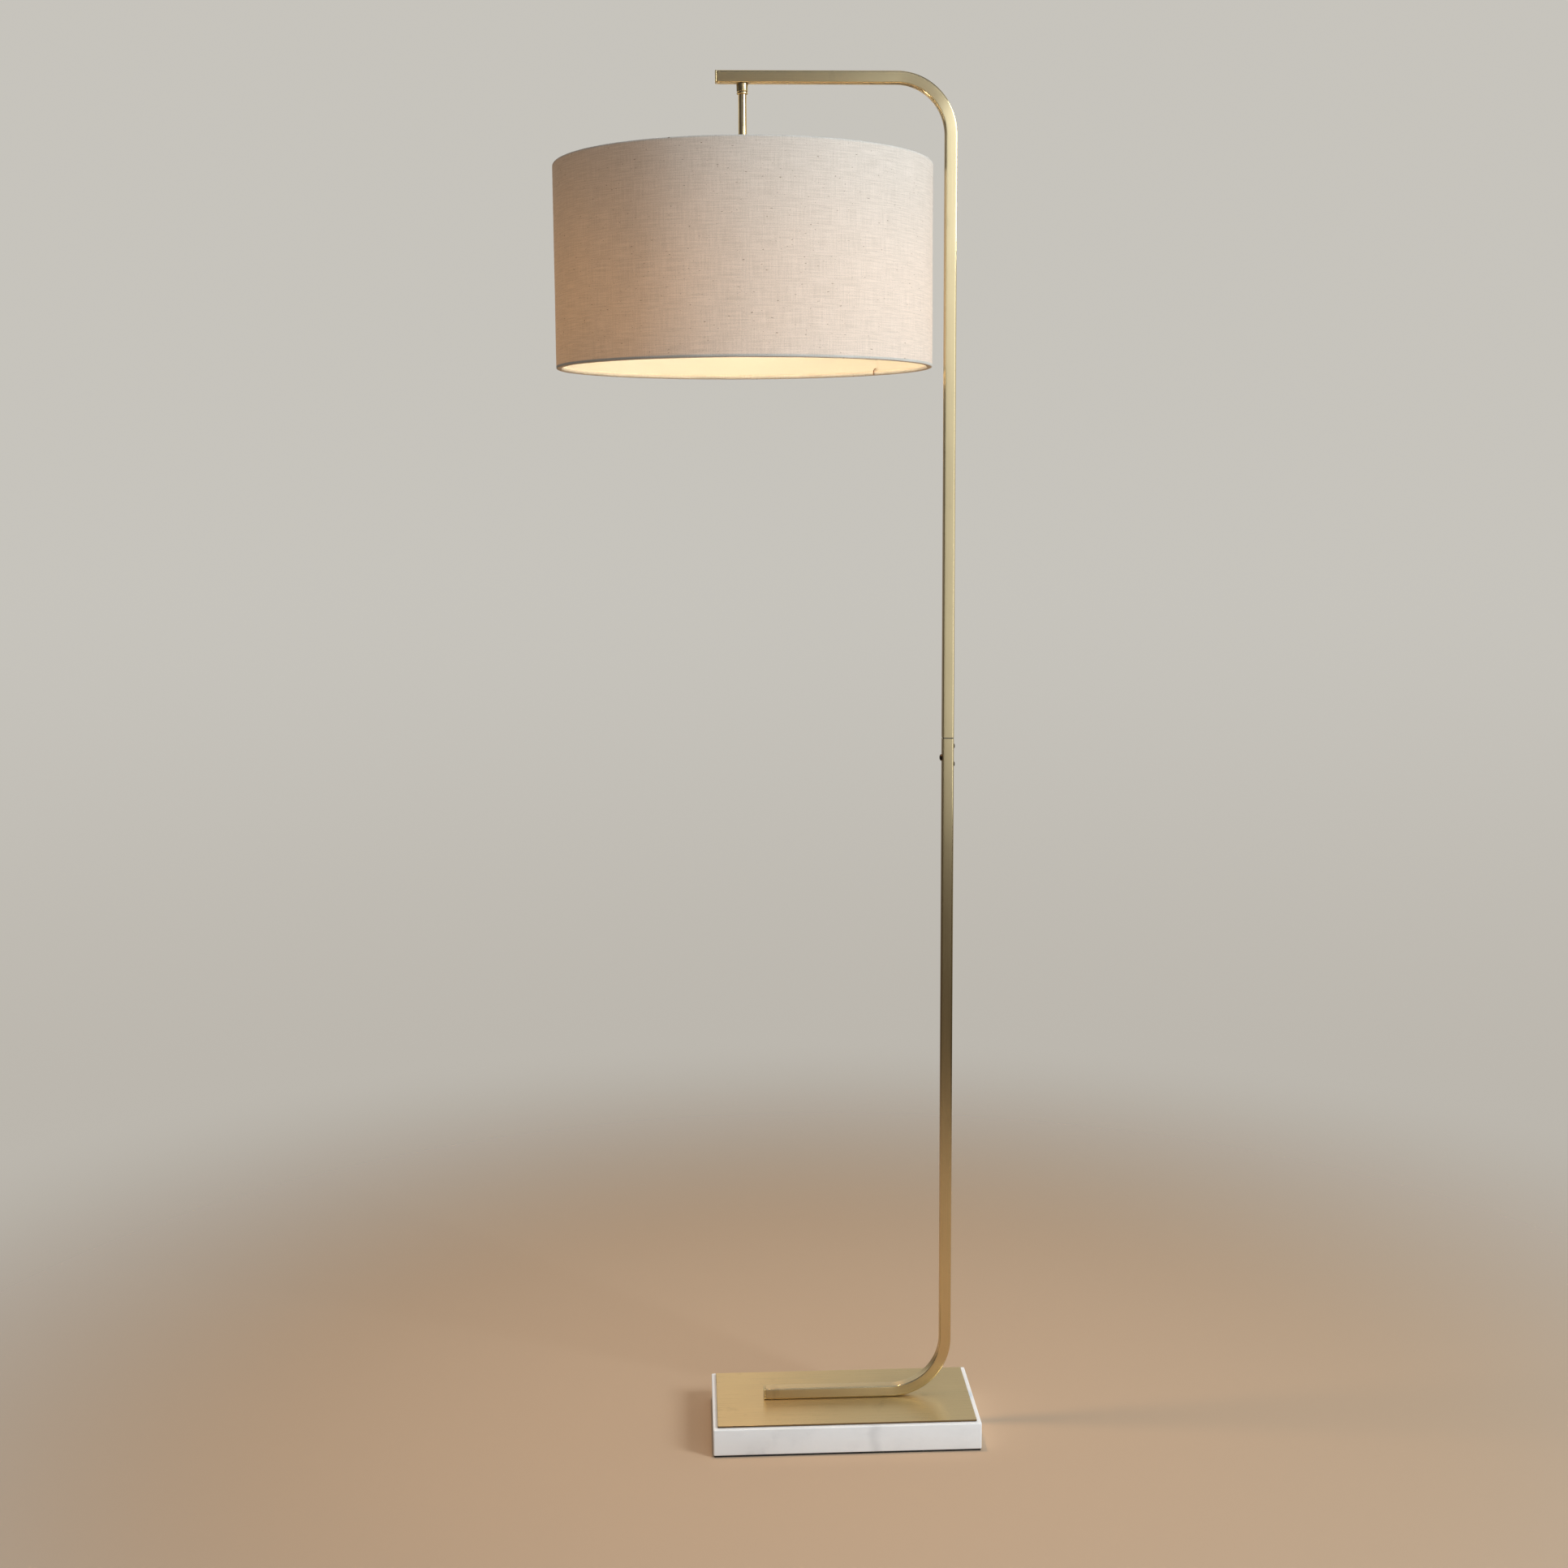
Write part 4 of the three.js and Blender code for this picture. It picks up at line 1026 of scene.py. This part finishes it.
def shade_centreline():
    """The cloth from its tucked top edge, over the top ring, down the wall and round the bottom ring."""
    wall = SHADE_R - SHEET / 2 - 0.2 * MM
    ring_low, ring_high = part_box("shade_bottom_ring")
    wire_r = (ring_high.z - ring_low.z) / 2
    ring_r = (ring_high.x - ring_low.x) / 2 - wire_r
    lift = ring_low.z + wire_r - SHADE_BOTTOM
    wrap = wire_r + SHEET / 2 + 0.1 * MM
    tuck_start, tuck_end = math.radians(100), math.radians(270)
    half = []
    steps = 8
    for k in range(steps + 1):
        angle = tuck_start + (tuck_end - tuck_start) * k / steps
        half.append(Vector((ring_r + wrap * math.cos(angle), lift + wrap * math.sin(angle))))
    floor = half[-1].y
    fold = 1.1 * MM
    steps = 6
    for k in range(1, steps + 1):
        angle = math.radians(-90 + 90 * k / steps)
        half.append(Vector((wall - fold + fold * math.cos(angle), floor + fold + fold * math.sin(angle))))
    bottom = [Vector((p.x, SHADE_BOTTOM + p.y)) for p in half]
    top = [Vector((p.x, SHADE_TOP - p.y)) for p in half]
    rows = 84
    z0, z1 = top[-1].y, bottom[-1].y
    wall_points = [Vector((wall, z0 + (z1 - z0) * k / rows)) for k in range(1, rows)]
    return top + wall_points + bottom[::-1]


def make_cloth():
    """The linen, with a slight ripple, slubs and the overlap's step."""
    centreline = shade_centreline()
    profile = sheet_profile(centreline, SHEET)
    angles = seam_angles(576)
    rows = []
    for angle in angles:
        c, s = math.cos(angle), math.sin(angle)
        row = []
        for p in profile:
            ripple = noise.noise(Vector((c * 9, s * 9, p.y * 14))) * 0.16 * MM
            slub = noise.noise(Vector((c * 5, s * 5, p.y * 420))) * 0.05 * MM
            lap = 0.35 * MM if on_seam(angle) and p.x > SHADE_R - 2 * MM else 0.0
            r = p.x + ripple + slub + lap
            row.append((AXIS_X + r * c, r * s, p.y))
        rows.append(row)

    def uvs(i, j):
        angle = angles[i] if i < len(angles) else TURN
        return (angle * SHADE_R, profile[j % len(profile)].y - SHADE_BOTTOM)

    mesh = grid_mesh("shade_cloth", rows, uvs, True, True)
    cloth = piece(mesh, linen_cloth, "shade", "natural_linen", "shade_fabric")


def make_lining():
    """The backing film. Its free edge curls inwards a little at the foot of the overlap."""
    low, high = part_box("shade_lining")
    outer = (high.x - low.x) / 2
    inner = outer - 0.6 * MM
    bottom, top = SHADE_BOTTOM + 1.4 * MM, SHADE_TOP - 1.4 * MM
    steps = 40
    levels = [bottom + (top - bottom) * (k / steps) ** 1.5 for k in range(steps + 1)]
    profile = [(outer, z) for z in levels] + [(inner, z) for z in reversed(levels)]
    angles = seam_angles(360)
    rows = []
    for angle in angles:
        c, s = math.cos(angle), math.sin(angle)
        row = []
        for r, z in profile:
            if r < outer:
                r += noise.noise(Vector((c * 6, s * 6, z * 8))) * 0.1 * MM
                if on_seam(angle):
                    past_edge = (angle - SEAM_ANGLE) * SHADE_R
                    curl = max(0.0, 1 - (z - bottom) / (10 * MM)) * max(0.0, 1 - past_edge / (6 * MM))
                    r -= 0.5 * MM + 3.6 * MM * curl ** 2
            row.append((AXIS_X + r * c, r * s, z))
        rows.append(row)

    def uvs(i, j):
        angle = angles[i] if i < len(angles) else TURN
        return (angle * inner, profile[j % len(profile)][1])

    mesh = grid_mesh("lining", rows, uvs, True, True)
    piece(mesh, film, "shade", "shade_lining", "shade_lining")


def make_seam_end():
    """The rolled end of the overlap's edge, which stands up inside the lower rim and curls over."""
    points = []
    steps = 24
    for k in range(steps + 1):
        t = k / steps
        angle = SEAM_ANGLE + (0.5 - 5.2 * t ** 2) * MM / SHADE_R
        r = SHADE_R - (8.0 + 0.8 * t) * MM
        z = SHADE_BOTTOM + (0.7 + 6.4 * math.sin(t * math.radians(105))) * MM
        points.append(Vector((AXIS_X + r * math.cos(angle), r * math.sin(angle), z)))
    mesh = wire("seam_end", points, [0.55 * MM] * len(points), 10)
    # its dark brown colour is painted shade on the pale linen
    piece(mesh, shaded_rolled_edge, "shade", "natural_linen")


make_lining()
make_cloth()
make_seam_end()


# ---------- CAD nodes that stay, and their finishes
def refinish(material, *names):
    for name in names:
        mesh = nodes[name].data
        mesh.materials.clear()
        mesh.materials.append(material)
        for polygon in mesh.polygons:
            polygon.use_smooth = True
        mesh.set_sharp_from_angle(angle=math.radians(30))


refinish(zinc, "base_bolt_outer", "base_bolt_inner", "base_washer_outer", "base_washer_inner")
refinish(zinc, "leg_nut_outer", "leg_nut_inner", "joint_spigot", "swivel_stud", "holder_lock_nut")
refinish(sheath, "supply_flex")
refinish(brass_turned, "holder_contact")
refinish(ceramic, "holder_insert")


# ---------- floor, world and lights
FLOOR = (0.58, 0.43, 0.30)
FLOOR_TONE = (0.50, 0.47, 0.42)  # the backdrop's two tones, as the camera sees it
WALL_TONE = (0.57, 0.55, 0.505)


def make_floor():
    """A pale floor round the lamp that fades into the backdrop."""
    mesh = bpy.data.meshes.new("floor")
    reach = 2.4
    corners = [(-reach, -reach, 0), (reach, -reach, 0), (reach, reach, 0), (-reach, reach, 0)]
    mesh.from_pydata(corners, [], [(0, 1, 2, 3)])
    floor = new_object("floor", mesh)
    g = Graph("pale_floor", Roughness=1.0, Specular_IOR_Level=0.0, Base_Color=FLOOR)
    flat = g.add("VectorMath", {0: g.place()}, operation="LENGTH").outputs["Value"]
    g.set("Alpha", g.minus(1.0, g.band(flat, 0.6, 1.7)))
    mesh.materials.append(g.material)


def softbox(name, azimuth, elevation, distance, width, height, power, colour, target):
    """A rectangle of light that faces target from this azimuth (0 is the front, 90 the right)."""
    a, e = math.radians(azimuth), math.radians(elevation)
    away = Vector((math.sin(a) * math.cos(e), -math.cos(a) * math.cos(e), math.sin(e)))
    data = bpy.data.lights.new(name, "AREA")
    data.shape = "RECTANGLE"
    data.size = width
    data.size_y = height
    data.energy = power
    data.color = colour
    light = new_object(name, data)
    place = Matrix.Translation(Vector(target) + away * distance)
    light.matrix_world = place @ away.to_track_quat("Z", "Y").to_matrix().to_4x4()
    light.visible_camera = False


FRONT_LOW = (0.14, 0.105, 0.06)  # the room's tones, as the metal sees them
FRONT_MIDDLE = (0.20, 0.20, 0.20)
FRONT_HIGH = (0.37, 0.39, 0.43)
FRONT_STRIP = (0.13, 0.13, 0.14)
LEFT = (0.10, 0.095, 0.09)
RIGHT = (0.56, 0.57, 0.55)
BACK = (0.78, 0.75, 0.68)
BACK_CORNER = (0.13, 0.105, 0.075)
ABOVE = (0.13, 0.135, 0.14)
OVERHEAD = (0.80, 0.84, 0.90)
BELOW = (0.07, 0.055, 0.04)


def make_world():
    """A dim room in front, a pale wall behind, and a plain pale backdrop wherever the camera looks."""
    world = bpy.data.worlds.new("studio")
    bpy.context.scene.world = world
    world.use_nodes = True
    tree = world.node_tree
    tree.nodes.clear()

    def add(kind, inputs=None, **settings):
        node = tree.nodes.new("ShaderNode" + kind)
        for key, value in settings.items():
            setattr(node, key, value)
        for key, value in (inputs or {}).items():
            if isinstance(value, bpy.types.NodeSocket):
                tree.links.new(value, node.inputs[key])
            else:
                node.inputs[key].default_value = (*value, 1) if isinstance(value, tuple) else value
        return node

    def blend(amount, low, high):
        return add("Mix", {0: amount, 6: low, 7: high}, data_type="RGBA").outputs[2]

    def ramp(value, low, high):
        return add("MapRange", {0: value, 1: low, 2: high}, interpolation_type="SMOOTHSTEP").outputs[0]

    def product(a, b):
        return add("Math", {0: a, 1: b}, operation="MULTIPLY").outputs[0]

    x, y, z = add("SeparateXYZ", {0: add("TexCoord").outputs["Generated"]}).outputs
    room = blend(ramp(z, -0.25, 0.05), FRONT_LOW, FRONT_MIDDLE)
    room = blend(ramp(z, 0.03, 0.16), room, FRONT_HIGH)
    strip = product(ramp(x, -0.2, -0.08), ramp(x, 0.08, 0.01))
    room = blend(product(strip, ramp(z, 0.0, 0.08)), room, FRONT_STRIP)
    room = blend(ramp(x, -0.15, -0.6), room, LEFT)
    room = blend(ramp(x, 0.35, 0.8), room, RIGHT)
    room = blend(ramp(y, 0.0, 0.4), room, BACK)
    corner = product(ramp(x, -0.18, -0.36), ramp(z, 0.28, 0.12))
    room = blend(product(corner, ramp(y, 0.0, 0.4)), room, BACK_CORNER)
    room = blend(ramp(z, 0.42, 0.8), room, ABOVE)
    room = blend(ramp(z, 0.88, 0.97), room, OVERHEAD)
    room = blend(ramp(z, 0.0, -0.3), room, BELOW)
    backdrop = blend(ramp(z, -0.3, -0.02), FLOOR_TONE, WALL_TONE)
    lit = add("Background", {0: room}).outputs[0]
    seen = add("Background", {0: backdrop}).outputs[0]
    from_camera = add("LightPath").outputs["Is Camera Ray"]
    choose = add("MixShader", {0: from_camera, 1: lit, 2: seen})
    tree.links.new(choose.outputs[0], add("OutputWorld").inputs[0])


def make_bulb_light():
    """The lit bulb's pool of light on the foot, for the part that its glass is too small to sample well."""
    data = bpy.data.lights.new("bulb_light", "SPOT")
    data.energy = 12
    data.color = (1.0, 0.63, 0.33)
    data.spot_size = math.radians(120)
    data.spot_blend = 1.0
    data.shadow_soft_size = BULB_R
    light = new_object("bulb_light", data)
    light.location = (AXIS_X, 0, BULB_LOW.z - BULB_R - 2 * MM)
    light.visible_camera = False


make_floor()
make_world()
softbox("key", azimuth=54, elevation=24, distance=3.6, width=1.1, height=1.5, power=88,
        colour=(0.86, 0.94, 1.0), target=(0.0, 0.0, 0.95))
softbox("window", azimuth=17, elevation=3, distance=4.2, width=1.7, height=2.6, power=22.5,
        colour=(0.90, 0.97, 1.0), target=(0.1, 0.0, 1.13))
make_bulb_light()
bpy.context.scene.view_settings.view_transform = "Standard"
bpy.context.scene.view_settings.look = "None"
